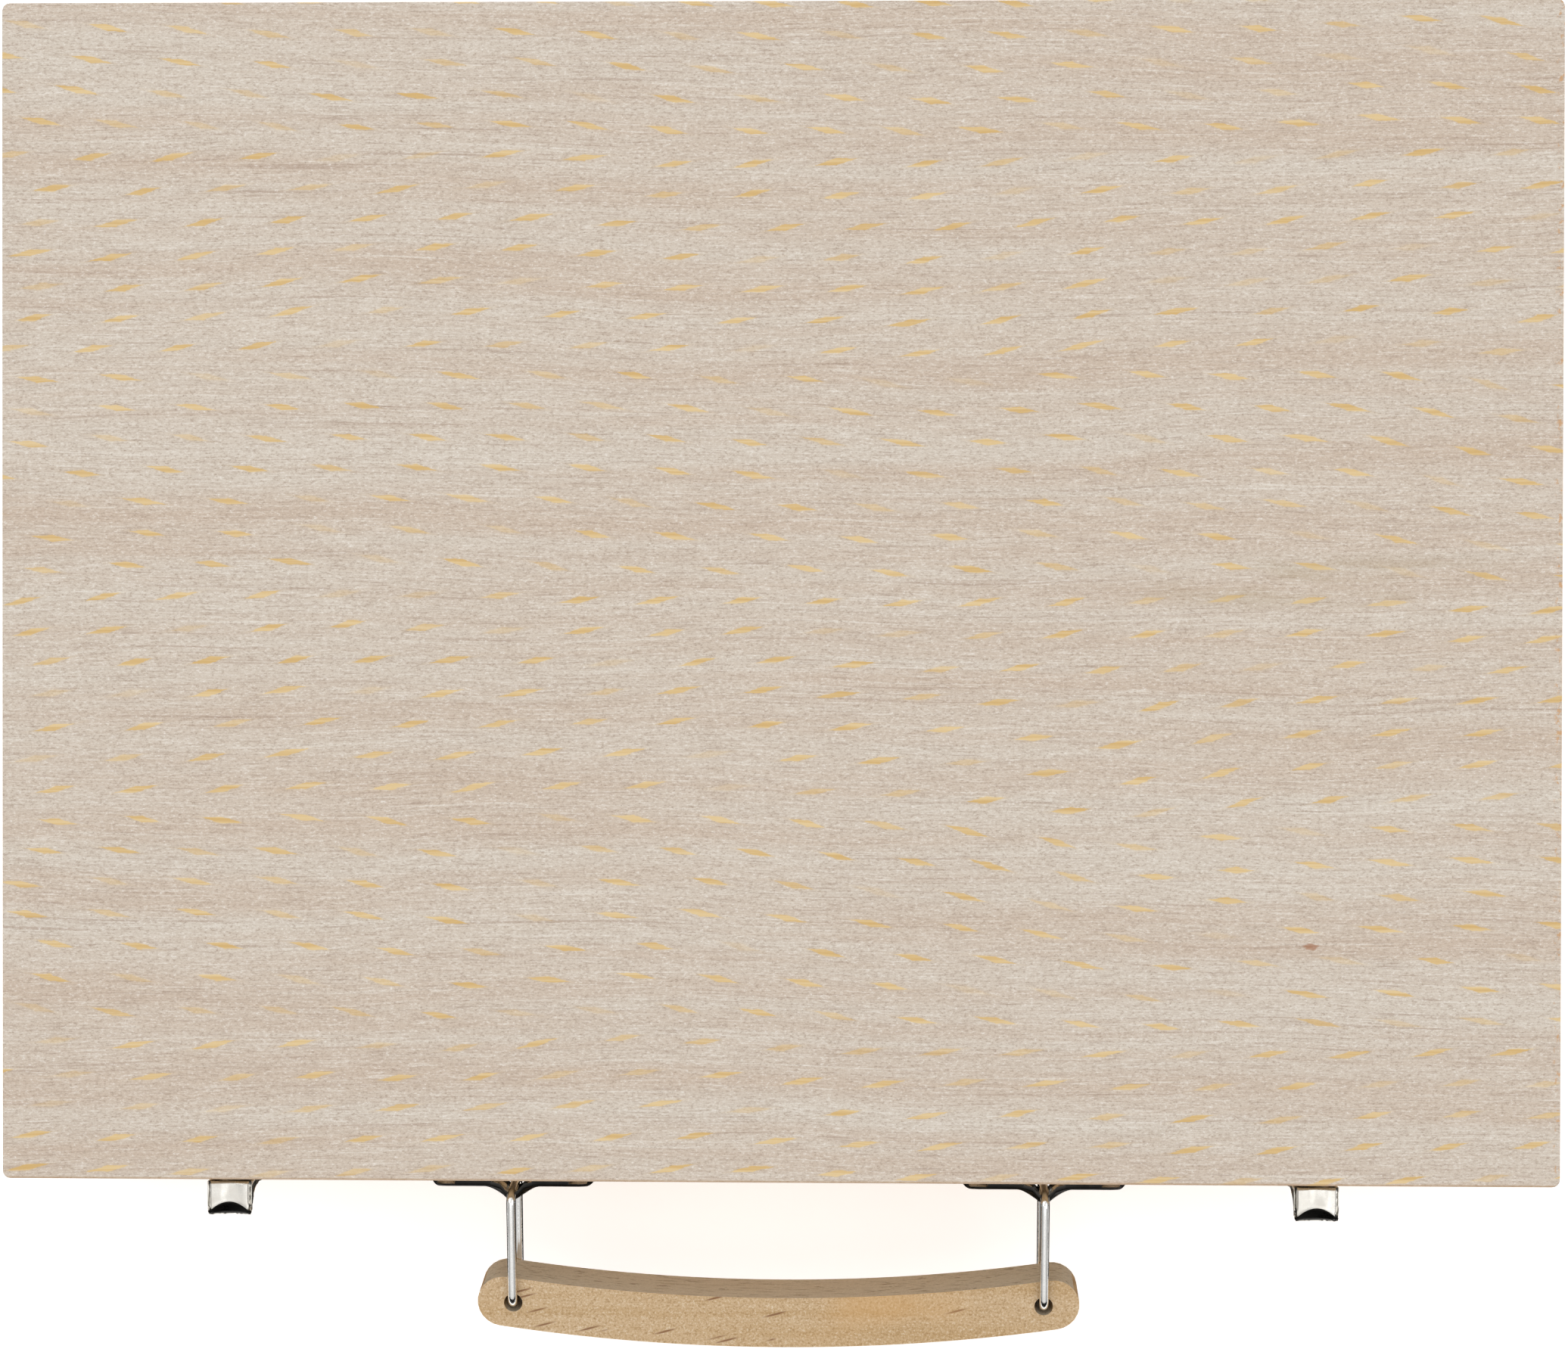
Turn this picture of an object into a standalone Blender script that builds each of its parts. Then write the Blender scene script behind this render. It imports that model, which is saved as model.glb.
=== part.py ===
"""Table box easel: a flat wooden case whose lid stands up as an easel.

The base holds a tray with compartments and a small palette.  The lid turns on two hinges at the
back and is held open by two slotted stays.  Inside the lid a canvas stands on a ledge, and a clamp
on a track holds its top edge.  At the front are a wooden grip on two wire bails, and two hasps.

The origin is the centre of the base's underside.  +Z is up and -Y is the front, with the handle.
"""

import math

import bmesh
import bpy
from mathutils import Vector

MM = 0.001

# The case.
CASE_WIDTH = 412 * MM
CASE_DEPTH = 312 * MM
PANEL = 4 * MM  # plywood of the lid's top and of the base's bottom
PANEL_CORNER = 2 * MM
BOARD = 9 * MM  # side boards and lid rails
BASE_BOARD_HEIGHT = 29.7 * MM
LID_RAIL_HEIGHT = 27.3 * MM
GLUE_LINE = 0.3 * MM  # between glued pieces
LID_GAP = 0.4 * MM  # between the closed lid and the base
FINGERS = 5  # of the corner joints
EDGE = 0.5 * MM  # eased edges of the wood

# The tray in the base.
TRAY_WALL = 5 * MM
TRAY_HEIGHT = 24 * MM
TRAY_LANE = 14 * MM  # room beside the tray for the stays
BRUSH_ROW = 78 * MM  # depth of the long compartment at the front
CROSS_DIVIDERS = 3
TRAY_FIT = 0.4 * MM
PALETTE_WIDTH = 158 * MM
PALETTE_DEPTH = 196 * MM
PALETTE = 3 * MM
PALETTE_CORNER = 16 * MM
PALETTE_ROOM = 1.5 * MM
PALETTE_HOLE = 22 * MM
PALETTE_HOLE_INSET = 30 * MM
CUT_PAST = 1 * MM  # how far a cutting shape passes the piece that it cuts

# The lid's hinges.
HINGE_SPREAD = 250 * MM
HINGE_WIDTH = 38 * MM
LEAF_HEIGHT = 13 * MM
LEAF = 1.2 * MM
KNUCKLE_RADIUS = 2.3 * MM
PIN_RADIUS = 1.15 * MM
PIN_ROOM = 0.35 * MM
PIN_CAP = 1.0 * MM
PIN_CAP_PROUD = 0.4 * MM  # wider than the knuckles' bore
LEAF_LAP = 0.2  # of the knuckle's radius, by which a leaf stops short of the pin's axis
METAL_GAP = 0.3 * MM  # between metal and what it is screwed to

# The stays: each arm is as long as its pivot is from the lid's hinge, so its foot runs on a
# straight line through the hinge and it turns by exactly twice the lid's angle.
STAY_REACH = 140 * MM
STAY_SLOPE = math.radians(4)  # of that line, down towards the front
LID_OPENS = math.radians(72)
STAY_RAIL_HEIGHT = 8.8 * MM
STAY_RAIL = 1.2 * MM
STAY_STANDOFF = 3.2 * MM  # from the board to the rail
STAY_FOOT = 14 * MM
STAY_SLOT = 4.6 * MM
STAY_SLOT_END = 2 * MM  # of plain strip past the slot
STAY_ARM = 1.4 * MM
STAY_ARM_WIDTH = 12 * MM
BOLT_RADIUS = 2 * MM
BOLT_HEAD_RADIUS = 3.6 * MM
BOLT_HEAD = 2 * MM
RIVET_RADIUS = 1.6 * MM
RIVET_HEAD = 1.1 * MM
NUT_RADIUS = 6.5 * MM
NUT_LENGTH = 5.9 * MM
NUT_TEETH = 18
NUT_TOOTH = 0.93  # radius between the teeth, as a share of the radius on them
SHANK_SHORT = 0.8 * MM  # by which the bolt stops inside its nut
BRACKET_WIDTH = 16 * MM
BRACKET_BELOW_CEILING = 8 * MM
BRACKET_BEND = 1.6 * MM  # above the rail's lower edge
BRACKET_BEND_OUT, BRACKET_BEND_IN = 0.4 * MM, 0.6 * MM  # corners of the bend's inner side
RUNNING = 0.3 * MM  # between pieces that turn or slide on each other

# The canvas clamp and the ledge in the lid.
TRACK_WIDTH = 36 * MM
TRACK_HEIGHT = 9 * MM
TRACK_LIPS = 3 * MM  # below the track's channel
TRACK_LENGTH = 256 * MM
BOLT_SQUARE = 11 * MM
BOLT_SQUARE_HEIGHT = 3 * MM
STUD_RADIUS = 2.5 * MM
CLAMP_WIDTH = 70 * MM
CLAMP_DEPTH = 24 * MM
CLAMP_HEIGHT = 11 * MM
CLAMP_LIP = 3.5 * MM
CLAMP_REBATE = 6 * MM
CLAMP_REST = 16 * MM  # its middle, from the track's front end
KNOB_RADIUS = 11 * MM
KNOB_LENGTH = 7 * MM
LEDGE_LENGTH = 300 * MM
LEDGE_SHELF = 8 * MM
LEDGE_DROP = 23 * MM
LEDGE_LIP = 6 * MM
LEDGE_LIP_HEIGHT = 5 * MM
LEDGE_SETBACK = 26 * MM  # from the lid's back face

# The carrying handle.
PLATE_SPREAD = 142.4 * MM
PLATE_WIDTH = 44.6 * MM
PLATE_HEIGHT = 14 * MM
PLATE_BELOW_TOP = 16 * MM  # its middle, below the lid's top face
PLATE_RISE = 3.1 * MM
PLATE_EDGE = 0.6 * MM  # its thickness where it curls in to the wall
WINDOW_INSET = 2.4 * MM  # of the gap behind each end
WINDOW_LENGTH = 4.6 * MM
WINDOW_LOW, WINDOW_HIGH = 0.8 * MM, 2.4 * MM
RIDGE_RISE = 6.9 * MM
RIDGE_HALF_WIDTH = 6.4 * MM
RIDGE_WALL = 1.0 * MM
ROUND_SHARE = 0.45  # of the ridge's shape; the rest of it is a straight-sided V
V_POWER = 1.1  # hollows the V's flanks a little
PLATE_STATIONS = 26  # points on each half of the plate's outline
PLATE_CORNER = 0.36  # of its height
PLATE_SKIM = 0.1 * MM  # taken off its top and bottom by the rounding of its face
TUNNEL_MOUTH = 0.36  # share of the ridge's height at which the tunnel narrows
MASK_FRONT, MASK_BACK = 20 * MM, 5 * MM  # reach of a cutting shape from the lid's front face
SCREW_INSET = 10 * MM
SCREW_RADIUS = 1.4 * MM
SCREW_HEAD_RADIUS = 2.7 * MM
SCREW_HEAD = 1.5 * MM
SCREW_LENGTH = 10 * MM
SCREW_ROOM = 0.3 * MM
WIRE_RADIUS = 1.25 * MM
WIRE_BEND = 2.6 * MM
BAIL_LENGTH = 30.5 * MM  # between the centres of its two short sides
BAIL_BAR_OUT = 3.5 * MM  # its bar's centre, out from the lid's front face
DROOP = math.radians(9)  # the bar's play in the ridge lets the grip sink this far
GRIP_THICKNESS = 15 * MM
GRIP_WIDTH = 13.8 * MM
GRIP_RADIUS = 500 * MM  # of its centre line
GRIP_END = 2.7 * MM  # from the bail's hole to the centre of the round end
GRIP_HOLE_RADIUS = 2.5 * MM
GRIP_SIDE_ROOM = 0.4 * MM
GRIP_EDGE = 0.7 * MM

# The hasps.
HASP_SPREAD = 290 * MM
HASP_DRIFT = -1.8 * MM  # both hasps stand this far from where they would be symmetrical
HASP_WIDTH = 10.4 * MM
HASP_SHEET = 0.9 * MM
HASP_RISE = 10 * MM  # how far the flap stands out
HASP_TIP_BELOW_TOP = 8 * MM
HASP_PIN_BELOW_RIM = 5 * MM
HASP_PIN_OUT = 2.6 * MM
HASP_PIN_RADIUS = 0.8 * MM
HASP_KNUCKLE_RADIUS = 2.0 * MM
HASP_KNUCKLE = 4.6 * MM
HASP_LEAF_WIDTH = 15 * MM
HASP_LEAF_HEIGHT = 14 * MM
HASP_SNAP_RADIUS = 1.2 * MM
KEEPER_HEIGHT = 17 * MM
KEEPER_NOSE = 7.0 * MM
KEEPER_BROW = 8.6 * MM
KEEPER_BROW_ARC = 5.2 * MM
KEEPER_WEB = 3 * MM  # its strip's front, out from the lid
KEEPER_BELOW_TIP = 2 * MM
KEEPER_RAMP, KEEPER_CHIN = 4 * MM, 1.2 * MM  # heights of the nose's two slopes
HASP_SNAP_BELOW_TIP = 8.5 * MM
HASP_SNAP_SUNK = 0.45  # of the bar's radius, into the flap's sheet
HASP_PIN_PROUD = 0.4 * MM
HASP_SHOULDER = 10 * MM  # above the pin, where the flap reaches its full depth
HASP_WALL_GAP = 1.7 * MM
HASP_FOOT_RISE = 2 * MM  # above the base's rim, where the walls come nearest the case
HASP_TIP_SLOPE, HASP_TIP_SET_OUT = 3 * MM, 4.2 * MM  # its side walls' corner at the tip
HASP_FOOT_GAP = 1.6 * MM  # from the knuckle to the flap's hollow

# Levels and places that follow from these.
BASE_RIM = PANEL + GLUE_LINE + BASE_BOARD_HEIGHT
LID_FLOOR = BASE_RIM + LID_GAP
LID_CEILING = LID_FLOOR + LID_RAIL_HEIGHT
CASE_HEIGHT = LID_CEILING + GLUE_LINE + PANEL
FRONT = -CASE_DEPTH / 2
BACK = CASE_DEPTH / 2
INNER_SIDE = CASE_WIDTH / 2 - BOARD
HINGE_Y = BACK + METAL_GAP + KNUCKLE_RADIUS
HINGE_Z = BASE_RIM + LID_GAP / 2
TRACK_TOP = LID_CEILING
TRACK_BOTTOM = TRACK_TOP - TRACK_HEIGHT
BAIL_HALF_WIDTH = GRIP_THICKNESS / 2 + GRIP_SIDE_ROOM + WIRE_RADIUS

WOOD_COLOURS = {
    "plywood": (0.640, 0.560, 0.470),
    "beech": (0.600, 0.440, 0.270),
    "grip_wood": (0.560, 0.400, 0.230),
}


def material(name, colour, roughness, metallic=0.0):
    found = bpy.data.materials.get(name)
    if found:
        return found
    made = bpy.data.materials.new(name)
    made.use_nodes = True
    shader = made.node_tree.nodes["Principled BSDF"]
    shader.inputs["Base Color"].default_value = (*colour, 1)
    shader.inputs["Roughness"].default_value = roughness
    shader.inputs["Metallic"].default_value = metallic
    return made


def wood(name):
    return material(name, WOOD_COLOURS[name], 0.55)


def nickel():
    return material("nickel", (0.62, 0.60, 0.56), 0.22, 1.0)


def zinc():
    return material("zinc_steel", (0.50, 0.50, 0.50), 0.38, 1.0)


def collection(name):
    found = bpy.data.collections.get(name)
    if not found:
        found = bpy.data.collections.new(name)
        bpy.context.scene.collection.children.link(found)
    return found


def place(obj, finish=None):
    """Puts obj in the model's collection, or in the cutters' if it has no finish."""
    for old in list(obj.users_collection):
        old.objects.unlink(obj)
    if finish is None:
        collection("cutters").objects.link(obj)
        obj.hide_render = True
        obj.display_type = "WIRE"
    else:
        collection("box_easel").objects.link(obj)
        obj.data.materials.clear()
        obj.data.materials.append(finish)
    return obj


def ease_edges(obj, width, segments=1):
    bevel = obj.modifiers.new("eased_edges", "BEVEL")
    bevel.width = width
    bevel.segments = segments
    bevel.limit_method = "ANGLE"
    bevel.angle_limit = math.radians(35)
    bevel.use_clamp_overlap = True


def block(name, low, high, finish=None, edge=0.0):
    """A rectangular piece between two corners."""
    centre = [(a + b) / 2 for a, b in zip(low, high)]
    bpy.ops.mesh.primitive_cube_add(size=1, location=centre)
    obj = bpy.context.object
    obj.name = name
    obj.scale = [b - a for a, b in zip(low, high)]
    bpy.ops.object.transform_apply(location=False, rotation=False, scale=True)
    if edge:
        ease_edges(obj, edge)
    return place(obj, finish)


def rod(name, radius, start, end, finish=None, sides=24):
    """A round bar along X, Y or Z, from one point to another."""
    axis = max(range(3), key=lambda k: abs(end[k] - start[k]))
    turn = [(0, math.pi / 2, 0), (math.pi / 2, 0, 0), (0, 0, 0)][axis]
    bpy.ops.mesh.primitive_cylinder_add(
        vertices=sides,
        radius=radius,
        depth=abs(end[axis] - start[axis]),
        location=[(a + b) / 2 for a, b in zip(start, end)],
        rotation=turn,
    )
    obj = bpy.context.object
    obj.name = name
    obj.data.shade_smooth()
    obj.data.set_sharp_from_angle(angle=math.radians(35))
    return place(obj, finish)


TURNS = {
    "X": (math.pi / 2, 0, math.pi / 2),  # the outline lies in Y and Z
    "Y": (math.pi / 2, 0, 0),  # the outline lies in X and Z
    "Z": (0, 0, 0),  # the outline lies in X and Y
}


def prism(name, outline, along, low, high, finish=None, edge=0.0, segments=1, holes=()):
    """A flat outline, with its holes, given thickness along X, Y or Z, between low and high."""
    curve = bpy.data.curves.new(name, "CURVE")
    curve.dimensions = "2D"
    curve.fill_mode = "BOTH"
    curve.extrude = (high - low) / 2
    for ring in (outline, *holes):
        spline = curve.splines.new("POLY")
        spline.points.add(len(ring) - 1)
        for point, (u, v) in zip(spline.points, ring):
            point.co = (u, v, 0, 1)
        spline.use_cyclic_u = True
    guide = bpy.data.objects.new(name + "_outline", curve)
    guide.rotation_euler = TURNS[along]
    guide.location["XYZ".index(along)] = (low + high) / 2
    bpy.context.scene.collection.objects.link(guide)
    obj = meshed(name, guide)
    if edge:
        ease_edges(obj, edge, segments)
    return place(obj, finish)


def meshed(name, guide):
    """The curve as a closed mesh, with its caps welded to its sides."""
    bpy.context.view_layer.update()
    graph = bpy.context.evaluated_depsgraph_get()
    mesh = bpy.data.meshes.new_from_object(guide.evaluated_get(graph))
    shape = bmesh.new()
    shape.from_mesh(mesh)
    bmesh.ops.remove_doubles(shape, verts=shape.verts, dist=0.00001)
    bmesh.ops.recalc_face_normals(shape, faces=shape.faces)
    shape.to_mesh(mesh)
    shape.free()
    obj = bpy.data.objects.new(name, mesh)
    obj.matrix_world = guide.matrix_world
    bpy.context.scene.collection.objects.link(obj)
    bpy.data.objects.remove(guide)
    return obj


def combine(obj, other, operation):
    boolean = obj.modifiers.new(operation.lower() + "_" + other.name, "BOOLEAN")
    boolean.operation = operation
    boolean.object = other
    boolean.solver = "EXACT"
    return obj


def cut(obj, *cutters):
    for cutter in cutters:
        combine(obj, cutter, "DIFFERENCE")
    return obj


def join(obj, *others):
    for other in others:
        combine(obj, other, "UNION")
    return obj


def arc(centre, radius, start, end, steps):
    """Points on an arc, with angles in degrees."""
    angles = [math.radians(start + (end - start) * k / steps) for k in range(steps + 1)]
    return [(centre[0] + radius * math.cos(a), centre[1] + radius * math.sin(a)) for a in angles]


def rounded_rectangle(low, high, radius, steps=4):
    x0, y0, x1, y1 = low[0] + radius, low[1] + radius, high[0] - radius, high[1] - radius
    return (
        arc((x1, y1), radius, 0, 90, steps)
        + arc((x0, y1), radius, 90, 180, steps)
        + arc((x0, y0), radius, 180, 270, steps)
        + arc((x1, y0), radius, 270, 360, steps)
    )


def slot_outline(start, end, radius, steps=6):
    """A slot along the first coordinate."""
    return arc((end, 0), radius, -90, 90, steps) + arc((start, 0), radius, 90, 270, steps)


def shifted(outline, du, dv):
    return [(u + du, v + dv) for u, v in outline]


def finger_outline(length, floor, height, ends_out):
    """A board's face with half of a finger joint at each end.  ends_out is whether its lowest
    finger reaches the full length."""
    pitch = height / FINGERS
    right = []
    for k in range(FINGERS):
        out = (k % 2 == 0) == ends_out
        reach = length / 2 if out else length / 2 - BOARD - GLUE_LINE
        ease = GLUE_LINE / 2 if out else -GLUE_LINE / 2
        bottom = floor + k * pitch + (ease if k else 0)
        top = floor + (k + 1) * pitch - (ease if k < FINGERS - 1 else 0)
        right += [(reach, bottom), (reach, top)]
    left = [(-reach, z) for reach, z in reversed(right)]
    return right + left


def case_sides(prefix, floor, height, front_holes=()):
    """Four jointed boards: front, back, left and right."""
    wide = finger_outline(CASE_WIDTH, floor, height, True)
    deep = finger_outline(CASE_DEPTH, floor, height, False)
    beech = wood("beech")
    inner = CASE_DEPTH / 2 - BOARD
    side = CASE_WIDTH / 2
    prism(prefix + "front", wide, "Y", FRONT, -inner, beech, EDGE, 1, front_holes)
    prism(prefix + "back", wide, "Y", inner, BACK, beech, EDGE)
    prism(prefix + "left", deep, "X", -side, -INNER_SIDE, beech, EDGE)
    prism(prefix + "right", deep, "X", INNER_SIDE, side, beech, EDGE)


def panel(name, low, high):
    corner = (CASE_WIDTH / 2, CASE_DEPTH / 2)
    outline = rounded_rectangle((-corner[0], -corner[1]), corner, PANEL_CORNER)
    return prism(name, outline, "Z", low, high, wood("plywood"), EDGE)


def build_base():
    panel("base_panel", 0, PANEL)
    case_sides("base_board_", PANEL + GLUE_LINE, BASE_BOARD_HEIGHT)


def build_tray():
    """Two side walls, a long divider and the cross dividers, glued to the base's panel."""
    floor = PANEL + GLUE_LINE
    top = floor + TRAY_HEIGHT
    outer = INNER_SIDE - TRAY_LANE
    inner_y = CASE_DEPTH / 2 - BOARD - TRAY_FIT
    beech = wood("beech")
    for side, name in ((-1, "tray_wall_left"), (1, "tray_wall_right")):
        xs = sorted((side * outer, side * (outer - TRAY_WALL)))
        block(name, (xs[0], -inner_y, floor), (xs[1], inner_y, top), beech, EDGE)
    reach = outer - TRAY_WALL - TRAY_FIT
    front = -inner_y + BRUSH_ROW
    back = front + TRAY_WALL
    block("tray_long_divider", (-reach, front, floor), (reach, back, top), beech, EDGE)
    for k in range(CROSS_DIVIDERS):
        x = -reach + 2 * reach * (k + 1) / (CROSS_DIVIDERS + 1)
        low = (x - TRAY_WALL / 2, back + TRAY_FIT, floor)
        high = (x + TRAY_WALL / 2, inner_y, top)
        block(f"tray_cross_divider_{k + 1}", low, high, beech, EDGE)


def build_palette():
    """A thin board with a thumb hole, lying on the rear compartments at the right."""
    level = PANEL + GLUE_LINE + TRAY_HEIGHT + GLUE_LINE
    right = INNER_SIDE - TRAY_LANE
    back = CASE_DEPTH / 2 - BOARD - PALETTE_ROOM
    low = (right - PALETTE_WIDTH, back - PALETTE_DEPTH)
    outline = rounded_rectangle(low, (right, back), PALETTE_CORNER, 6)
    palette = prism("palette", outline, "Z", level, level + PALETTE, wood("plywood"), EDGE)
    x, y = low[0] + PALETTE_HOLE_INSET, low[1] + PALETTE_HOLE_INSET
    hole = slot_outline(x - PALETTE_HOLE / 3, x + PALETTE_HOLE / 3, PALETTE_HOLE / 2)
    ends = (level - CUT_PAST, level + PALETTE + CUT_PAST)
    cut(palette, prism("thumb_hole_cutter", shifted(hole, 0, y), "Z", *ends))


def build_lid():
    """The lid's panel and rails, with pilot holes at the front for the handle plates' screws."""
    pilots = [screw_hole(x) for x in screw_places()]
    case_sides("lid_rail_", LID_FLOOR, LID_RAIL_HEIGHT, pilots)
    panel("lid_panel", LID_CEILING + GLUE_LINE, CASE_HEIGHT)


def screw_hole(x):
    return arc((x, plate_z()), SCREW_RADIUS + SCREW_ROOM, 0, 345, 23)


def hinge_leaf(name, x, side, spans):
    """One leaf of a butt hinge.  side is -1 for the base's and 1 for the lid's."""
    near = HINGE_Z + side * (KNUCKLE_RADIUS + METAL_GAP) * LEAF_LAP
    far = HINGE_Z + side * LEAF_HEIGHT
    low = (x - HINGE_WIDTH / 2, BACK + METAL_GAP, min(near, far))
    high = (x + HINGE_WIDTH / 2, BACK + METAL_GAP + LEAF, max(near, far))
    leaf = block(name, low, high, nickel())
    for k, (start, end) in enumerate(spans):
        knuckle = rod(
            f"{name}_knuckle_{k}", KNUCKLE_RADIUS, (x + start, HINGE_Y, HINGE_Z), (x + end, HINGE_Y, HINGE_Z)
        )
        join(leaf, knuckle)
    return leaf


def build_hinges():
    quarter = HINGE_WIDTH / 4
    half = HINGE_WIDTH / 2
    for side, word in ((-1, "left"), (1, "right")):
        x = side * HINGE_SPREAD / 2
        outer = ((-half, -quarter - RUNNING / 2), (quarter + RUNNING / 2, half))
        inner = ((-quarter + RUNNING / 2, quarter - RUNNING / 2),)
        base_leaf = hinge_leaf(f"hinge_{word}_base_leaf", x, -1, outer)
        lid_leaf = hinge_leaf(f"hinge_{word}_lid_leaf", x, 1, inner)
        reach = KNUCKLE_RADIUS + RUNNING
        bore = rod(
            f"hinge_{word}_bore_cutter",
            PIN_RADIUS + PIN_ROOM,
            (x - HINGE_WIDTH, HINGE_Y, HINGE_Z),
            (x + HINGE_WIDTH, HINGE_Y, HINGE_Z),
        )
        for leaf, gaps in ((base_leaf, inner), (lid_leaf, outer)):
            for k, (start, end) in enumerate(gaps):
                room = RUNNING if gaps is inner else 0
                spread = HINGE_WIDTH if gaps is outer else 0
                low_x = x + start - room - (spread if start < 0 else 0)
                high_x = x + end + room + (spread if start > 0 else 0)
                gap = rod(
                    f"{leaf.name}_gap_cutter_{k}",
                    reach,
                    (low_x, HINGE_Y, HINGE_Z),
                    (high_x, HINGE_Y, HINGE_Z),
                )
                cut(leaf, gap)
            cut(leaf, bore)
        head = PIN_RADIUS + PIN_ROOM + PIN_CAP_PROUD
        pin = rod(
            f"hinge_{word}_pin",
            PIN_RADIUS,
            (x - half - PIN_CAP, HINGE_Y, HINGE_Z),
            (x + half + PIN_CAP, HINGE_Y, HINGE_Z),
            nickel(),
        )
        for end in (-1, 1):
            start = x + end * (half + RUNNING)
            cap = rod(
                f"hinge_{word}_pin_cap_{end}",
                head,
                (start, HINGE_Y, HINGE_Z),
                (start + end * PIN_CAP, HINGE_Y, HINGE_Z),
            )
            join(pin, cap)


def stay_point(distance):
    """A point (y, z) on the stays' line, that far from the lid's hinge."""
    return (
        HINGE_Y - distance * math.cos(STAY_SLOPE),
        HINGE_Z - distance * math.sin(STAY_SLOPE),
    )


def on_stay_line(obj):
    """Lays a piece modelled along -Y from the hinge's axis on the stays' sloping line."""
    turn = bpy.data.objects.get("stay_line")
    if not turn:
        turn = bpy.data.objects.new("stay_line", None)
        turn.location = (0, HINGE_Y, HINGE_Z)
        turn.rotation_euler = (STAY_SLOPE, 0, 0)
        collection("box_easel").objects.link(turn)
    obj.parent = turn
    return obj


def stay_rail(name, side):
    """A slotted strip along the board, with a foot bent to the board at each end."""
    slot_start = 2 * STAY_REACH * math.cos(LID_OPENS)
    slot_end = 2 * STAY_REACH
    clear = STAY_SLOT / 2 + STAY_FOOT + STAY_STANDOFF + STAY_SLOT_END
    near, far = -(slot_start - clear), -(slot_end + clear)
    wall = side * INNER_SIDE
    bend = STAY_STANDOFF
    path = [
        (METAL_GAP, near),
        (METAL_GAP, near - STAY_FOOT),
        (STAY_STANDOFF, near - STAY_FOOT - bend),
        (STAY_STANDOFF, far + STAY_FOOT + bend),
        (METAL_GAP, far + STAY_FOOT),
        (METAL_GAP, far),
    ]
    back = [(w + STAY_RAIL, v) for w, v in reversed(path)]
    outline = [(wall - side * w, v) for w, v in path + back]
    half = STAY_RAIL_HEIGHT / 2
    rail = on_stay_line(prism(name, outline, "Z", -half, half, zinc()))
    slot = slot_outline(-slot_end, -slot_start, STAY_SLOT / 2)
    xs = sorted((wall, wall - side * 3 * STAY_STANDOFF))
    cut(rail, on_stay_line(prism(name + "_slot_cutter", slot, "X", *xs)))
    return rail


def stay_layers(side):
    """Distances across a stay, as x: the arm's two faces, the bracket's and the nut's."""
    rail = STAY_STANDOFF + STAY_RAIL
    arm = (rail + RUNNING, rail + RUNNING + STAY_ARM)
    bracket = (arm[1] + RUNNING, arm[1] + RUNNING + STAY_ARM)
    nut = (arm[1] + RUNNING, arm[1] + RUNNING + NUT_LENGTH)
    return [tuple(side * (INNER_SIDE - w) for w in pair) for pair in (arm, bracket, nut)]


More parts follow.
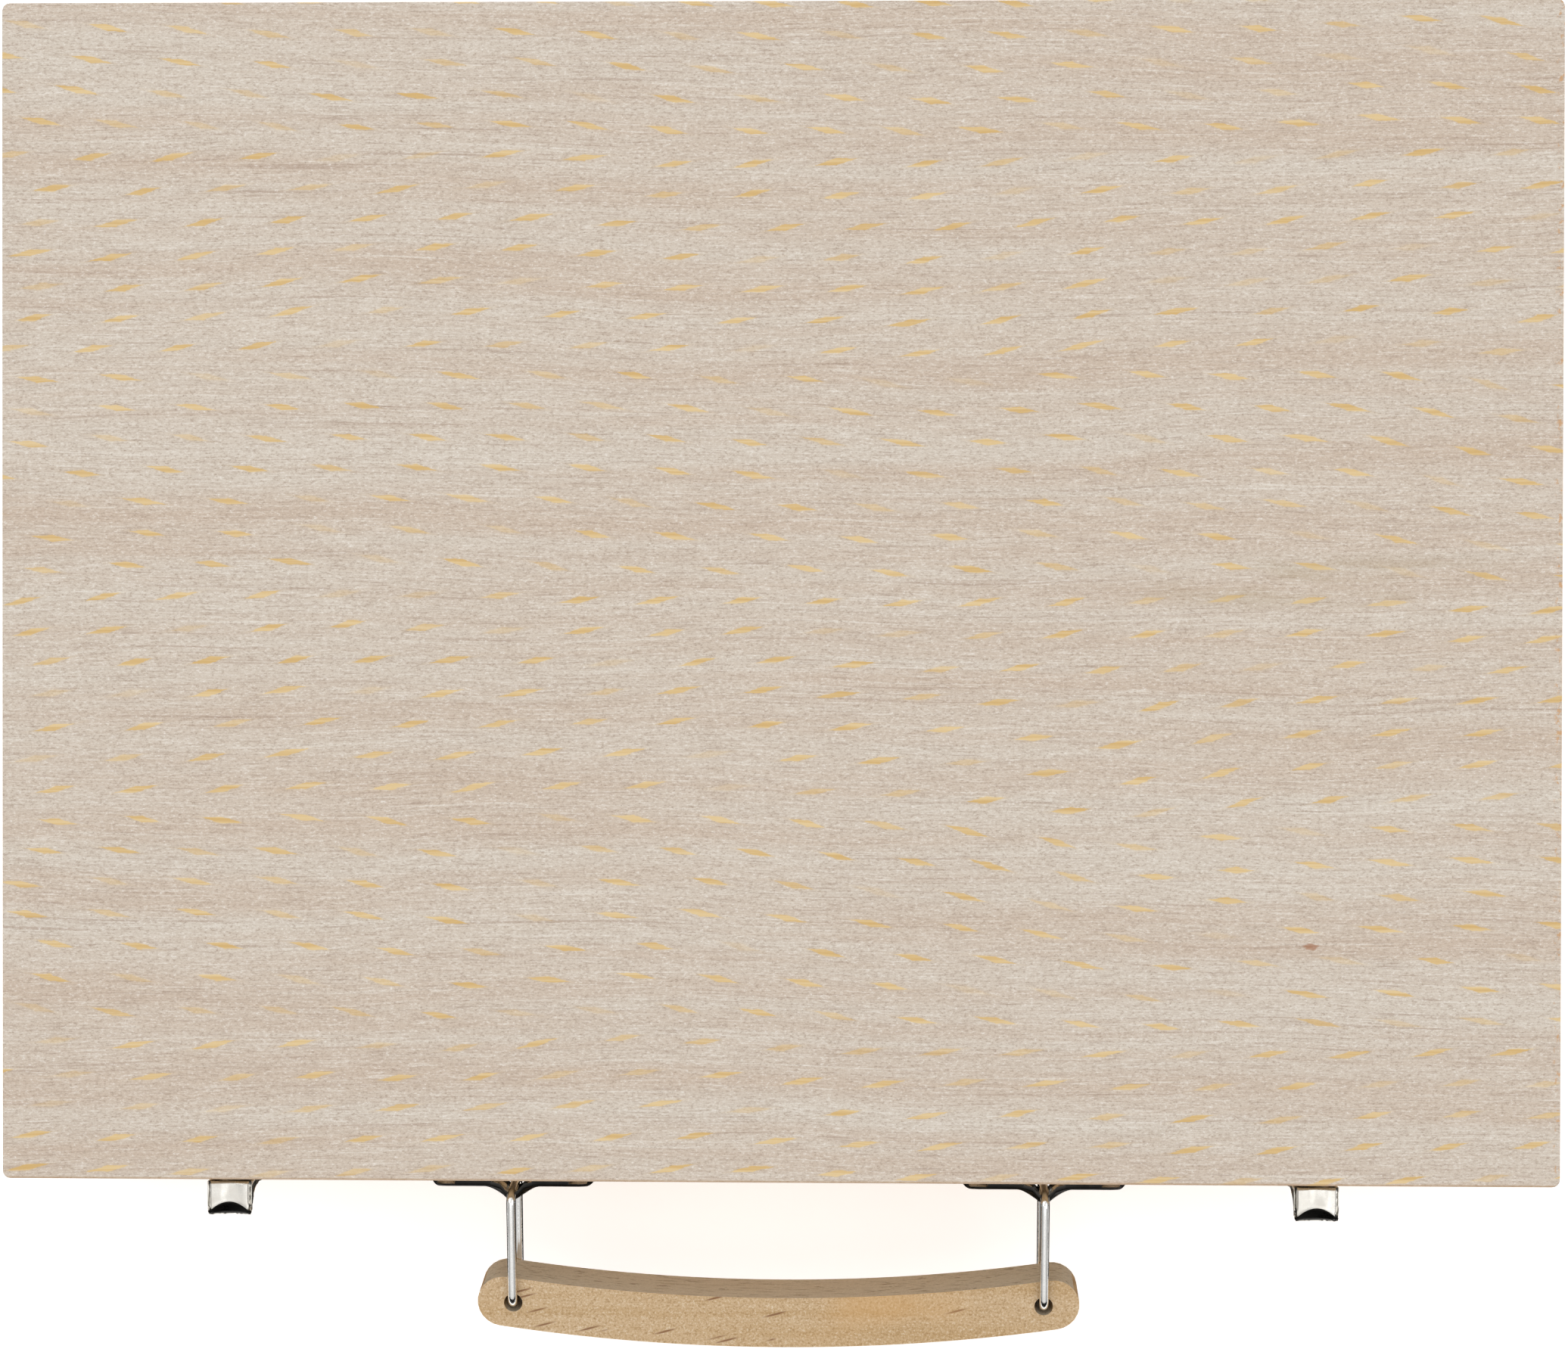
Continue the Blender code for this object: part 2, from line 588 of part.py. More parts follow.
def build_stay(side, word):
    stay_rail(f"stay_{word}_rail", side)
    arm_x, bracket_x, nut_x = stay_layers(side)
    pivot_y, pivot_z = stay_point(STAY_REACH)
    foot_y, foot_z = stay_point(2 * STAY_REACH)

    outline = slot_outline(-2 * STAY_REACH, -STAY_REACH, STAY_ARM_WIDTH / 2)
    arm = on_stay_line(prism(f"stay_{word}_arm", outline, "X", *sorted(arm_x), zinc()))
    for part, (y, z), radius in (
        ("pivot", (pivot_y, pivot_z), RIVET_RADIUS),
        ("foot", (foot_y, foot_z), BOLT_RADIUS),
    ):
        ends = [(x, y, z) for x in (0, side * CASE_WIDTH / 2)]
        cut(arm, rod(f"stay_{word}_{part}_cutter", radius + RUNNING, *ends))

    # The bracket stands on the lid's rail and steps in over the stay to reach the pivot.
    leg = [side * (INNER_SIDE - abs(x)) for x in bracket_x]
    inner, outer = sorted(abs(w) for w in leg)
    step = STAY_STANDOFF + STAY_RAIL
    bend_z = LID_FLOOR + BRACKET_BEND
    path = [
        (METAL_GAP + LEAF, LID_CEILING - BRACKET_BELOW_CEILING),
        (METAL_GAP + LEAF, bend_z + step),
        (outer, bend_z),
        (outer, pivot_z - STAY_ARM_WIDTH / 2),
        (inner, pivot_z - STAY_ARM_WIDTH / 2),
        (inner, bend_z - BRACKET_BEND_OUT),
        (METAL_GAP, bend_z + step - BRACKET_BEND_IN),
        (METAL_GAP, LID_CEILING - BRACKET_BELOW_CEILING),
    ]
    outline = [(side * (INNER_SIDE - w), z) for w, z in path]
    bracket = prism(
        f"stay_{word}_bracket",
        outline,
        "Y",
        pivot_y - BRACKET_WIDTH / 2,
        pivot_y + BRACKET_WIDTH / 2,
        zinc(),
    )
    cut(bracket, bpy.data.objects[f"stay_{word}_pivot_cutter"])

    rivet = rod(
        f"stay_{word}_rivet",
        RIVET_RADIUS,
        (bracket_x[1] - side * RIVET_HEAD, pivot_y, pivot_z),
        (arm_x[0], pivot_y, pivot_z),
        zinc(),
    )
    head = rod(
        f"stay_{word}_rivet_head",
        2 * RIVET_RADIUS,
        (bracket_x[1] - side * RUNNING, pivot_y, pivot_z),
        (bracket_x[1] - side * (RUNNING + RIVET_HEAD), pivot_y, pivot_z),
    )
    join(rivet, head)

    shank_end = nut_x[1] - side * SHANK_SHORT
    head_start = side * (INNER_SIDE - STAY_STANDOFF + RUNNING)
    bolt = rod(
        f"stay_{word}_slide_bolt",
        BOLT_RADIUS,
        (head_start + side * BOLT_HEAD / 2, foot_y, foot_z),
        (shank_end, foot_y, foot_z),
        zinc(),
    )
    head = rod(
        f"stay_{word}_bolt_head",
        BOLT_HEAD_RADIUS,
        (head_start, foot_y, foot_z),
        (head_start + side * BOLT_HEAD, foot_y, foot_z),
    )
    join(bolt, head)
    thumb_nut(f"stay_{word}_thumb_nut", "X", nut_x, (foot_y, foot_z), NUT_RADIUS, BOLT_RADIUS)


def thumb_nut(name, along, ends, centre, radius, bore):
    """A knurled nut: a toothed outline with a round bore."""
    outline = []
    for k in range(2 * NUT_TEETH):
        angle = math.pi * k / NUT_TEETH
        reach = radius * (1 if k % 2 else NUT_TOOTH)
        outline.append((centre[0] + reach * math.cos(angle), centre[1] + reach * math.sin(angle)))
    low, high = sorted(ends)
    nut = prism(name, outline, along, low, high, nickel())
    start, end = [0, 0, 0], [0, 0, 0]
    axis = "XYZ".index(along)
    start[axis], end[axis] = low - CUT_PAST, high + CUT_PAST
    for spot in (start, end):
        for k, value in zip([k for k in range(3) if k != axis], centre):
            spot[k] = value
    cut(nut, rod(name + "_bore_cutter", bore + RUNNING, start, end))
    return nut


def build_clamp():
    """The track in the lid, and on it the clamp with its bolt and its knob."""
    beech = wood("beech")
    half = TRACK_WIDTH / 2
    mouth = STUD_RADIUS + RUNNING
    channel = BOLT_SQUARE / 2 + RUNNING
    sill = TRACK_BOTTOM + TRACK_LIPS
    lintel = sill + BOLT_SQUARE_HEIGHT + 2 * RUNNING
    outline = [
        (-half, TRACK_BOTTOM),
        (-mouth, TRACK_BOTTOM),
        (-mouth, sill),
        (-channel, sill),
        (-channel, lintel),
        (channel, lintel),
        (channel, sill),
        (mouth, sill),
        (mouth, TRACK_BOTTOM),
        (half, TRACK_BOTTOM),
        (half, TRACK_TOP),
        (-half, TRACK_TOP),
    ]
    front = FRONT + BOARD + TRAY_FIT
    prism("clamp_track", outline, "Y", front, front + TRACK_LENGTH, beech, EDGE / 2)

    centre = front + CLAMP_REST
    top = TRACK_BOTTOM - RUNNING
    low = top - CLAMP_HEIGHT
    near, far = centre - CLAMP_DEPTH / 2, centre + CLAMP_DEPTH / 2
    outline = [
        (near, low),
        (far, low),
        (far, low + CLAMP_LIP),
        (far - CLAMP_REBATE, low + CLAMP_LIP + CLAMP_REBATE / 3),
        (far - CLAMP_REBATE, top),
        (near, top),
    ]
    clamp = prism("canvas_clamp", outline, "X", -CLAMP_WIDTH / 2, CLAMP_WIDTH / 2, beech, EDGE)
    bolt_y = centre - CLAMP_REBATE / 2
    bolt_ends = ((0, bolt_y, low - CUT_PAST), (0, bolt_y, top + CUT_PAST))
    cut(clamp, rod("clamp_bore_cutter", STUD_RADIUS + RUNNING, *bolt_ends))

    knob_top = low - RUNNING
    knob_low = knob_top - KNOB_LENGTH
    thumb_nut("clamp_knob", "Z", (knob_low, knob_top), (0, bolt_y), KNOB_RADIUS, STUD_RADIUS)
    head = BOLT_SQUARE / 2
    bolt = block(
        "clamp_bolt",
        (-head, bolt_y - head, sill + RUNNING),
        (head, bolt_y + head, sill + RUNNING + BOLT_SQUARE_HEIGHT),
        zinc(),
    )
    shank = rod("clamp_bolt_shank", STUD_RADIUS, (0, bolt_y, knob_low - MM), (0, bolt_y, sill + 2 * RUNNING))
    join(bolt, shank)


def build_ledge():
    """A shelf with a lip that the canvas stands on when the lid is up."""
    back = BACK - LEDGE_SETBACK
    front = back - LEDGE_SHELF
    low = LID_CEILING - LEDGE_DROP
    outline = [
        (back, LID_CEILING),
        (front, LID_CEILING),
        (front, low + LEDGE_LIP_HEIGHT),
        (front - LEDGE_LIP, low + LEDGE_LIP_HEIGHT),
        (front - LEDGE_LIP, low),
        (back, low),
    ]
    half = LEDGE_LENGTH / 2
    prism("canvas_ledge", outline, "X", -half, half, wood("beech"), EDGE)


def plate_z():
    return CASE_HEIGHT - PLATE_BELOW_TOP


def screw_places():
    """The x of every screw in the two handle plates."""
    offset = PLATE_WIDTH / 2 - SCREW_INSET
    return [side * PLATE_SPREAD / 2 + end * offset for side in (-1, 1) for end in (-1, 1)]


def plate_rise(x):
    """How far the plate stands out, x from its middle: a low web, round ends and a ridge."""
    end_radius = PLATE_RISE
    past = abs(x) - (PLATE_WIDTH / 2 - end_radius)
    web = PLATE_RISE
    if past > 0:
        web = math.sqrt(max(end_radius**2 - past**2, 0))
    share = min(abs(x) / RIDGE_HALF_WIDTH, 1)
    peak = (1 + math.cos(math.pi * share)) / 2
    shape = ROUND_SHARE * peak + (1 - ROUND_SHARE) * (1 - share) ** V_POWER
    return max(web, METAL_GAP + PLATE_EDGE) + (RIDGE_RISE - PLATE_RISE) * shape


def build_plate(word, side):
    x0 = side * PLATE_SPREAD / 2
    wall = FRONT - METAL_GAP
    half = PLATE_WIDTH / 2
    stations = [half * k / PLATE_STATIONS for k in range(-PLATE_STATIONS, PLATE_STATIONS + 1)]
    outline = [(x0 + x, wall - (plate_rise(x) - METAL_GAP)) for x in stations]
    outline += [(x0 + half, wall), (x0 - half, wall)]
    z = plate_z()
    start, end = half - WINDOW_INSET - WINDOW_LENGTH, half - WINDOW_INSET
    windows = [
        rounded_rectangle((x0 + a, FRONT - WINDOW_HIGH), (x0 + b, FRONT - WINDOW_LOW), WINDOW_LOW / 2)
        for a, b in ((-end, -start), (start, end))
    ]
    ends = (z - PLATE_HEIGHT / 2, z + PLATE_HEIGHT / 2)
    plate = prism(f"handle_plate_{word}", outline, "Z", *ends, nickel(), 0, 1, windows)
    low = (x0 - half - PLATE_SKIM, z - PLATE_HEIGHT / 2 + PLATE_SKIM)
    high = (x0 + half + PLATE_SKIM, z + PLATE_HEIGHT / 2 - PLATE_SKIM)
    face = rounded_rectangle(low, high, PLATE_HEIGHT * PLATE_CORNER, 6)
    mask = prism(f"plate_mask_{word}", face, "Y", FRONT - MASK_FRONT, FRONT + MASK_BACK)
    combine(plate, mask, "INTERSECT")
    inner = RIDGE_HALF_WIDTH - RIDGE_WALL
    tip = RIDGE_RISE - RIDGE_WALL
    tunnel = [
        (x0 - inner, FRONT + CUT_PAST),
        (x0 - inner, FRONT - tip * TUNNEL_MOUTH),
        (x0 - WIRE_RADIUS - RUNNING, FRONT - tip),
        (x0 + WIRE_RADIUS + RUNNING, FRONT - tip),
        (x0 + inner, FRONT - tip * TUNNEL_MOUTH),
        (x0 + inner, FRONT + CUT_PAST),
    ]
    cut(plate, prism(f"tunnel_cutter_{word}", tunnel, "Z", z - PLATE_HEIGHT, z + PLATE_HEIGHT))
    for x in screw_places():
        if abs(x - x0) < half:
            hole = rod(
                f"plate_screw_cutter_{x:.3f}",
                SCREW_RADIUS + SCREW_ROOM,
                (x, FRONT - MASK_FRONT, z),
                (x, FRONT + CUT_PAST, z),
            )
            cut(plate, hole)
    return plate


def build_screws():
    """Round-headed screws that hold the handle plates to the lid's front rail."""
    seat = FRONT - PLATE_RISE - SCREW_ROOM
    for k, x in enumerate(screw_places()):
        z = plate_z()
        shank_end = (x, seat + SCREW_LENGTH, z)
        screw = rod(
            f"plate_screw_{k + 1}", SCREW_RADIUS, (x, seat - SCREW_HEAD / 4, z), shank_end, nickel(), 12
        )
        bpy.ops.mesh.primitive_uv_sphere_add(segments=20, ring_count=10, radius=SCREW_HEAD_RADIUS)
        dome = bpy.context.object
        dome.name = f"plate_screw_head_{k + 1}"
        dome.scale = (1, SCREW_HEAD / SCREW_HEAD_RADIUS, 1)
        dome.location = (x, seat, z)
        bpy.ops.object.transform_apply(location=False, rotation=False, scale=True)
        place(dome)
        half = block(
            f"screw_head_mask_{k + 1}",
            (x - 2 * SCREW_HEAD_RADIUS, seat, z - 2 * SCREW_HEAD_RADIUS),
            (x + 2 * SCREW_HEAD_RADIUS, seat + 2 * SCREW_HEAD, z + 2 * SCREW_HEAD_RADIUS),
        )
        cut(dome, half)
        join(screw, dome)


def droop_frame():
    """The bails' and the grip's frame: its origin is on the bails' bars, sunk by the droop."""
    frame = bpy.data.objects.get("handle_droop")
    if not frame:
        frame = bpy.data.objects.new("handle_droop", None)
        frame.location = (0, FRONT - BAIL_BAR_OUT, plate_z())
        frame.rotation_euler = (DROOP, 0, 0)
        collection("box_easel").objects.link(frame)
    return frame


def build_bail(word, side):
    """A closed ring of wire.  Its inner bar lies in the plate's ridge, its outer one in the grip."""
    half = BAIL_HALF_WIDTH
    points = rounded_rectangle((-BAIL_LENGTH, -half), (0, half), WIRE_BEND, 5)
    curve = bpy.data.curves.new(f"bail_{word}", "CURVE")
    curve.dimensions = "3D"
    curve.bevel_depth = WIRE_RADIUS
    curve.bevel_resolution = 3
    spline = curve.splines.new("POLY")
    spline.points.add(len(points) - 1)
    for point, (y, z) in zip(spline.points, points):
        point.co = (0, y, z, 1)
    spline.use_cyclic_u = True
    bail = bpy.data.objects.new(f"bail_{word}", curve)
    bail.location = (side * PLATE_SPREAD / 2, 0, 0)
    bail.parent = droop_frame()
    bpy.context.scene.collection.objects.link(bail)
    return place(bail, nickel())


def grip_outline():
    """A curved bar of even width with round ends, bowed away from the case.  The holes in it are
    on its centre line."""
    half = GRIP_WIDTH / 2
    hole_angle = math.asin(PLATE_SPREAD / 2 / GRIP_RADIUS)
    end_angle = hole_angle + GRIP_END / GRIP_RADIUS
    centre_y = -BAIL_LENGTH + GRIP_RADIUS * math.cos(hole_angle)
    centre = (0, centre_y)
    swing = math.degrees(end_angle)
    outer = arc(centre, GRIP_RADIUS + half, -90 - swing, -90 + swing, 28)
    inner = arc(centre, GRIP_RADIUS - half, -90 + swing, -90 - swing, 28)
    right = arc(centre, GRIP_RADIUS, -90 + swing, -90 + swing, 1)[0]
    left = (-right[0], right[1])
    return (
        outer
        + arc(right, half, -90 + swing, 90 + swing, 12)[1:-1]
        + inner
        + arc(left, half, 90 - swing, 270 - swing, 12)[1:-1]
    )


def build_grip():
    half = GRIP_THICKNESS / 2
    grip = prism("grip", grip_outline(), "Z", -half, half, wood("grip_wood"))
    grip.parent = droop_frame()
    for side in (-1, 1):
        x = side * PLATE_SPREAD / 2
        ends = [(x, -BAIL_LENGTH, z) for z in (-2 * half, 2 * half)]
        hole = rod(f"grip_hole_cutter_{side}", GRIP_HOLE_RADIUS, *ends)
        hole.parent = droop_frame()
        cut(grip, hole)
    ease_edges(grip, GRIP_EDGE, 2)


def build_hasp(word, side):
    """A snap hasp: a leaf on the base, a flap hinged to it, and a keeper on the lid."""
    x0 = side * HASP_SPREAD / 2 + HASP_DRIFT
    pin_y, pin_z = FRONT - HASP_PIN_OUT, BASE_RIM - HASP_PIN_BELOW_RIM
    tip_z = CASE_HEIGHT - HASP_TIP_BELOW_TOP
    half = HASP_WIDTH / 2
    knuckle = HASP_KNUCKLE / 2

    leaf = block(
        f"hasp_{word}_leaf",
        (x0 - HASP_LEAF_WIDTH / 2, FRONT - METAL_GAP - HASP_SHEET, pin_z - HASP_LEAF_HEIGHT),
        (x0 + HASP_LEAF_WIDTH / 2, FRONT - METAL_GAP, pin_z + HASP_SHEET),
        nickel(),
    )
    for end in (-1, 1):
        ear = rod(
            f"hasp_{word}_ear_{end}",
            HASP_KNUCKLE_RADIUS,
            (x0 + end * (knuckle + RUNNING), pin_y, pin_z),
            (x0 + end * half, pin_y, pin_z),
        )
        join(leaf, ear)
    gap = rod(
        f"hasp_{word}_gap_cutter",
        HASP_KNUCKLE_RADIUS + RUNNING,
        (x0 - knuckle - RUNNING, pin_y, pin_z),
        (x0 + knuckle + RUNNING, pin_y, pin_z),
    )
    bore = rod(
        f"hasp_{word}_bore_cutter",
        HASP_PIN_RADIUS + RUNNING,
        (x0 - 2 * half, pin_y, pin_z),
        (x0 + 2 * half, pin_y, pin_z),
        sides=16,
    )
    cut(leaf, gap, bore)

    # The flap's side profile, as distances out from the case's front face.
    face = HASP_RISE
    shoulder_z = pin_z + HASP_SHOULDER
    profile = [
        (HASP_PIN_OUT - HASP_KNUCKLE_RADIUS * 0.7, pin_z),
        (HASP_PIN_OUT - HASP_KNUCKLE_RADIUS * 0.7, pin_z + HASP_KNUCKLE_RADIUS + MM),
        (HASP_WALL_GAP, BASE_RIM + HASP_FOOT_RISE),
        (HASP_WALL_GAP, tip_z - HASP_TIP_SLOPE),
        (HASP_TIP_SET_OUT, tip_z),
        (face - MM, tip_z),
        (face, tip_z - 0.6 * MM),
        (face, shoulder_z),
        (HASP_PIN_OUT + HASP_KNUCKLE_RADIUS * 0.9, pin_z),
    ]
    outline = [(FRONT - out, z) for out, z in profile]
    flap = prism(f"hasp_{word}_flap", outline, "X", x0 - half, x0 + half, nickel())
    sheet = HASP_SHEET
    hollow = [
        (-MM, pin_z + HASP_KNUCKLE_RADIUS + HASP_FOOT_GAP),
        (-MM, tip_z + MM),
        (face - sheet, tip_z + MM),
        (face - sheet, shoulder_z + sheet / 2),
        (HASP_PIN_OUT + HASP_KNUCKLE_RADIUS, pin_z + HASP_KNUCKLE_RADIUS + HASP_FOOT_GAP),
    ]
    hollow = [(FRONT - out, z) for out, z in hollow]
    cut(flap, prism(f"hasp_{word}_hollow_cutter", hollow, "X", x0 - half + sheet, x0 + half - sheet))
    for end in (-1, 1):
        xs = sorted((x0 + end * (knuckle), x0 + end * (half + MM)))
        low = (xs[0], FRONT - HASP_PIN_OUT - HASP_KNUCKLE_RADIUS - 3 * MM, pin_z - 5 * MM)
        high = (xs[1], FRONT, pin_z + HASP_KNUCKLE_RADIUS + RUNNING)
        cut(flap, block(f"hasp_{word}_ear_cutter_{end}", low, high))
    barrel = rod(
        f"hasp_{word}_barrel",
        HASP_KNUCKLE_RADIUS,
        (x0 - knuckle, pin_y, pin_z),
        (x0 + knuckle, pin_y, pin_z),
    )
    snap_z = tip_z - HASP_SNAP_BELOW_TIP
    snap_y = FRONT - (face - sheet - HASP_SNAP_RADIUS * HASP_SNAP_SUNK)
    snap = rod(
        f"hasp_{word}_snap",
        HASP_SNAP_RADIUS,
        (x0 - half + sheet / 2, snap_y, snap_z),
        (x0 + half - sheet / 2, snap_y, snap_z),
        sides=16,
    )
    join(flap, barrel, snap)
    cut(flap, bore)
    rod(
        f"hasp_{word}_pin",
        HASP_PIN_RADIUS,
        (x0 - half - HASP_PIN_PROUD, pin_y, pin_z),
        (x0 + half + HASP_PIN_PROUD, pin_y, pin_z),
        nickel(),
        16,
    )
    build_keeper(word, x0, tip_z - KEEPER_BELOW_TIP, snap_z)


def build_keeper(word, x0, top, snap_z):
    """A folded strip on the lid's rail: a brow at the top, and a nose under the flap's snap bar."""
    low = top - KEEPER_HEIGHT
    brow = top - 2 * HASP_SHEET
    nose_top = snap_z - HASP_SNAP_RADIUS - RUNNING
    profile = [
        (METAL_GAP, low),
        (METAL_GAP + HASP_SHEET, low),
        (KEEPER_NOSE - MM, nose_top - KEEPER_RAMP),
        (KEEPER_NOSE, nose_top - KEEPER_CHIN),
        (KEEPER_NOSE - MM, nose_top),
        (KEEPER_WEB, nose_top),
        (KEEPER_WEB, brow),
        (KEEPER_BROW, brow),
        (KEEPER_BROW, top),
        (METAL_GAP, top),
    ]
    outline = [(FRONT - out, z) for out, z in profile]
    half = HASP_WIDTH / 2 - HASP_SHEET - RUNNING
    keeper = prism(f"hasp_{word}_keeper", outline, "X", x0 - half, x0 + half, nickel())
    sag = KEEPER_BROW_ARC - math.sqrt(KEEPER_BROW_ARC**2 - half**2)
    centre_y = FRONT - (KEEPER_BROW - sag + KEEPER_BROW_ARC)
    bite = rod(
        f"hasp_{word}_brow_cutter",
        KEEPER_BROW_ARC,
        (x0, centre_y, brow - CUT_PAST),
        (x0, centre_y, top + CUT_PAST),
        sides=40,
    )
    return cut(keeper, bite)


def hang(joint, spot, names):
    """Hangs the pieces that move with a joint on an empty that stands on its axis."""
    pivot = bpy.data.objects.new(joint, None)
    pivot.location = spot
    collection("box_easel").objects.link(pivot)
    bpy.context.view_layer.update()
    for name in names:
        piece = bpy.data.objects[name]
        world = piece.matrix_world.copy()
        piece.parent = pivot
        piece.matrix_world = world


def hang_all():
    bpy.context.view_layer.update()
    sides = ("left", "right")
    lid = ["lid_panel", "clamp_track", "canvas_ledge"]
    lid += [f"lid_rail_{part}" for part in ("front", "back", "left", "right")]
    lid += [f"plate_screw_{k}" for k in (1, 2, 3, 4)]
    for word in sides:
        lid += [f"hinge_{word}_lid_leaf", f"stay_{word}_bracket", f"stay_{word}_rivet"]
        lid += [f"handle_plate_{word}", f"hasp_{word}_keeper"]
    hang("lid_hinge", (0, HINGE_Y, HINGE_Z), lid)
    clamp_y = FRONT + BOARD + TRAY_FIT + CLAMP_REST - CLAMP_REBATE / 2
    hang("clamp_slide", (0, clamp_y, TRACK_BOTTOM), ["canvas_clamp", "clamp_bolt", "clamp_knob"])
    droop = droop_frame()
    for side, word in ((-1, "left"), (1, "right")):
        pivot, foot = stay_point(STAY_REACH), stay_point(2 * STAY_REACH)
        x = stay_layers(side)[0][0]
        hang(f"stay_{word}_pivot", (x, *pivot), [f"stay_{word}_arm", f"stay_{word}_slide_bolt"])
        hang(f"stay_{word}_nut_axis", (x, *foot), [f"stay_{word}_thumb_nut"])
        hasp_x = side * HASP_SPREAD / 2 + HASP_DRIFT
        pin = (hasp_x, FRONT - HASP_PIN_OUT, BASE_RIM - HASP_PIN_BELOW_RIM)
        hang(f"hasp_{word}_hinge", pin, [f"hasp_{word}_flap"])
        bar = droop.matrix_world @ Vector((side * PLATE_SPREAD / 2, 0, 0))
        hang(f"bail_{word}_sway", bar, [f"bail_{word}"])
    hole = droop.matrix_world @ Vector((-PLATE_SPREAD / 2, -BAIL_LENGTH, 0))
    hang("grip_pivot", hole, ["grip"])


def main():
    for old in list(bpy.data.objects):
        bpy.data.objects.remove(old)
    build_base()
    build_tray()
    build_palette()
    build_lid()
    build_hinges()
    build_clamp()
    build_ledge()
    build_screws()
    build_grip()
    for side, word in ((-1, "left"), (1, "right")):
        build_stay(side, word)
        build_plate(word, side)
        build_bail(word, side)
        build_hasp(word, side)
    hang_all()


main()
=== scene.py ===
"""The table box easel's visible model: materials, stamped fittings, screws, light and camera."""

import math

import bpy
import numpy as np
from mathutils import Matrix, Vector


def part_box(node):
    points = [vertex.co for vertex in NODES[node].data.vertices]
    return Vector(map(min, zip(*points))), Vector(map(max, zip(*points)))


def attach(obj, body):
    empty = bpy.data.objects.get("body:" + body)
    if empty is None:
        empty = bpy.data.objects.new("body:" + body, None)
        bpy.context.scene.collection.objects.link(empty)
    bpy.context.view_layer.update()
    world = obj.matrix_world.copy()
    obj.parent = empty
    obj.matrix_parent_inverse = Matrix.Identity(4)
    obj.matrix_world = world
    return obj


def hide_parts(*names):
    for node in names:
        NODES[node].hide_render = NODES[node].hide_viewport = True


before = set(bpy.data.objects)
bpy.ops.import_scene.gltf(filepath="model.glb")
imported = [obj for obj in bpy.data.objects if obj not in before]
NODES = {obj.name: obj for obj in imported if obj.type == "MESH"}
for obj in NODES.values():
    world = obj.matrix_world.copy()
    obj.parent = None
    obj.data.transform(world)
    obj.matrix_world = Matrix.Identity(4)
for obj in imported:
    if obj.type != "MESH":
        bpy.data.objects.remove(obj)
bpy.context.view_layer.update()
MM = 0.001


# ---------------------------------------------------------------- small makers


def linear(code):
    """sRGB hex to linear: each channel by the sRGB curve's inverse."""
    channels = [int(code[k : k + 2], 16) / 255 for k in (0, 2, 4)]
    return tuple(c / 12.92 if c <= 0.04045 else ((c + 0.055) / 1.055) ** 2.4 for c in channels) + (1.0,)


# The setting that holds a node's mode, and the sockets that plain values fill, where not the first.
MODE_OF = {
    "Math": "operation",
    "VectorMath": "operation",
    "MapRange": "interpolation_type",
    "TexWhiteNoise": "noise_dimensions",
}
ORDER_OF = {"Mix": (0, 6, 7), "TexNoise": (0, 2, 3, 4), "Mapping": (0, 3)}


class Finish:
    """A material being wired: add() makes a node with its settings and its links."""

    def __init__(self, name, roughness, metallic=0.0, specular=0.5):
        self.material = bpy.data.materials.new(name)
        self.material.use_nodes = True
        self.tree = self.material.node_tree
        self.shader = self.tree.nodes["Principled BSDF"]
        self.shader.inputs["Roughness"].default_value = roughness
        self.shader.inputs["Metallic"].default_value = metallic
        self.shader.inputs["Specular IOR Level"].default_value = specular

    def add(self, kind, *values, **named):
        """A node of a kind, such as "MapRange LINEAR": its type, and its mode where it has one.  Values
        fill its sockets in order, named values fill sockets or settings by name."""
        kind, _, mode = kind.partition(" ")
        node = self.tree.nodes.new("ShaderNode" + kind)
        if kind == "Mix":
            node.data_type = "RGBA"
        if mode:
            setattr(node, MODE_OF[kind], mode)
        for at, value in zip(ORDER_OF.get(kind, range(len(values))), values):
            self.feed(node.inputs[at], value)
        for key, value in named.items():
            if key.islower():
                setattr(node, key, value)
            else:
                self.feed(node.inputs[key.replace("_", " ")], value)
        return node

    def feed(self, socket, value):
        """A node's main output, a socket or a plain value goes into a socket."""
        if isinstance(value, bpy.types.Node):
            value = value.outputs[2 if value.bl_idname == "ShaderNodeMix" else 0]
        if isinstance(value, bpy.types.NodeSocket):
            self.tree.links.new(value, socket)
        else:
            socket.default_value = value

    def wire(self, socket, value):
        """A value goes into one of the shader's own sockets."""
        self.feed(self.shader.inputs[socket], value)


def place_of(finish):
    """Object coordinates in millimetres, and their parts."""
    spot = finish.add("TexCoord").outputs["Object"]
    mm = finish.add("VectorMath SCALE", spot, Scale=1000.0).outputs[0]
    parts = finish.add("SeparateXYZ", mm).outputs
    return mm, parts[0], parts[1], parts[2]


def facing(finish):
    """The surface's direction in the world, as absolute parts.  It doesn't turn with a body, so faces
    and edges are told apart only as the case lies closed."""
    normal = finish.add("NewGeometry").outputs["True Normal"]
    size = finish.add("VectorMath ABSOLUTE", normal).outputs[0]
    return finish.add("SeparateXYZ", size).outputs


# ---------------------------------------------------------------- woods


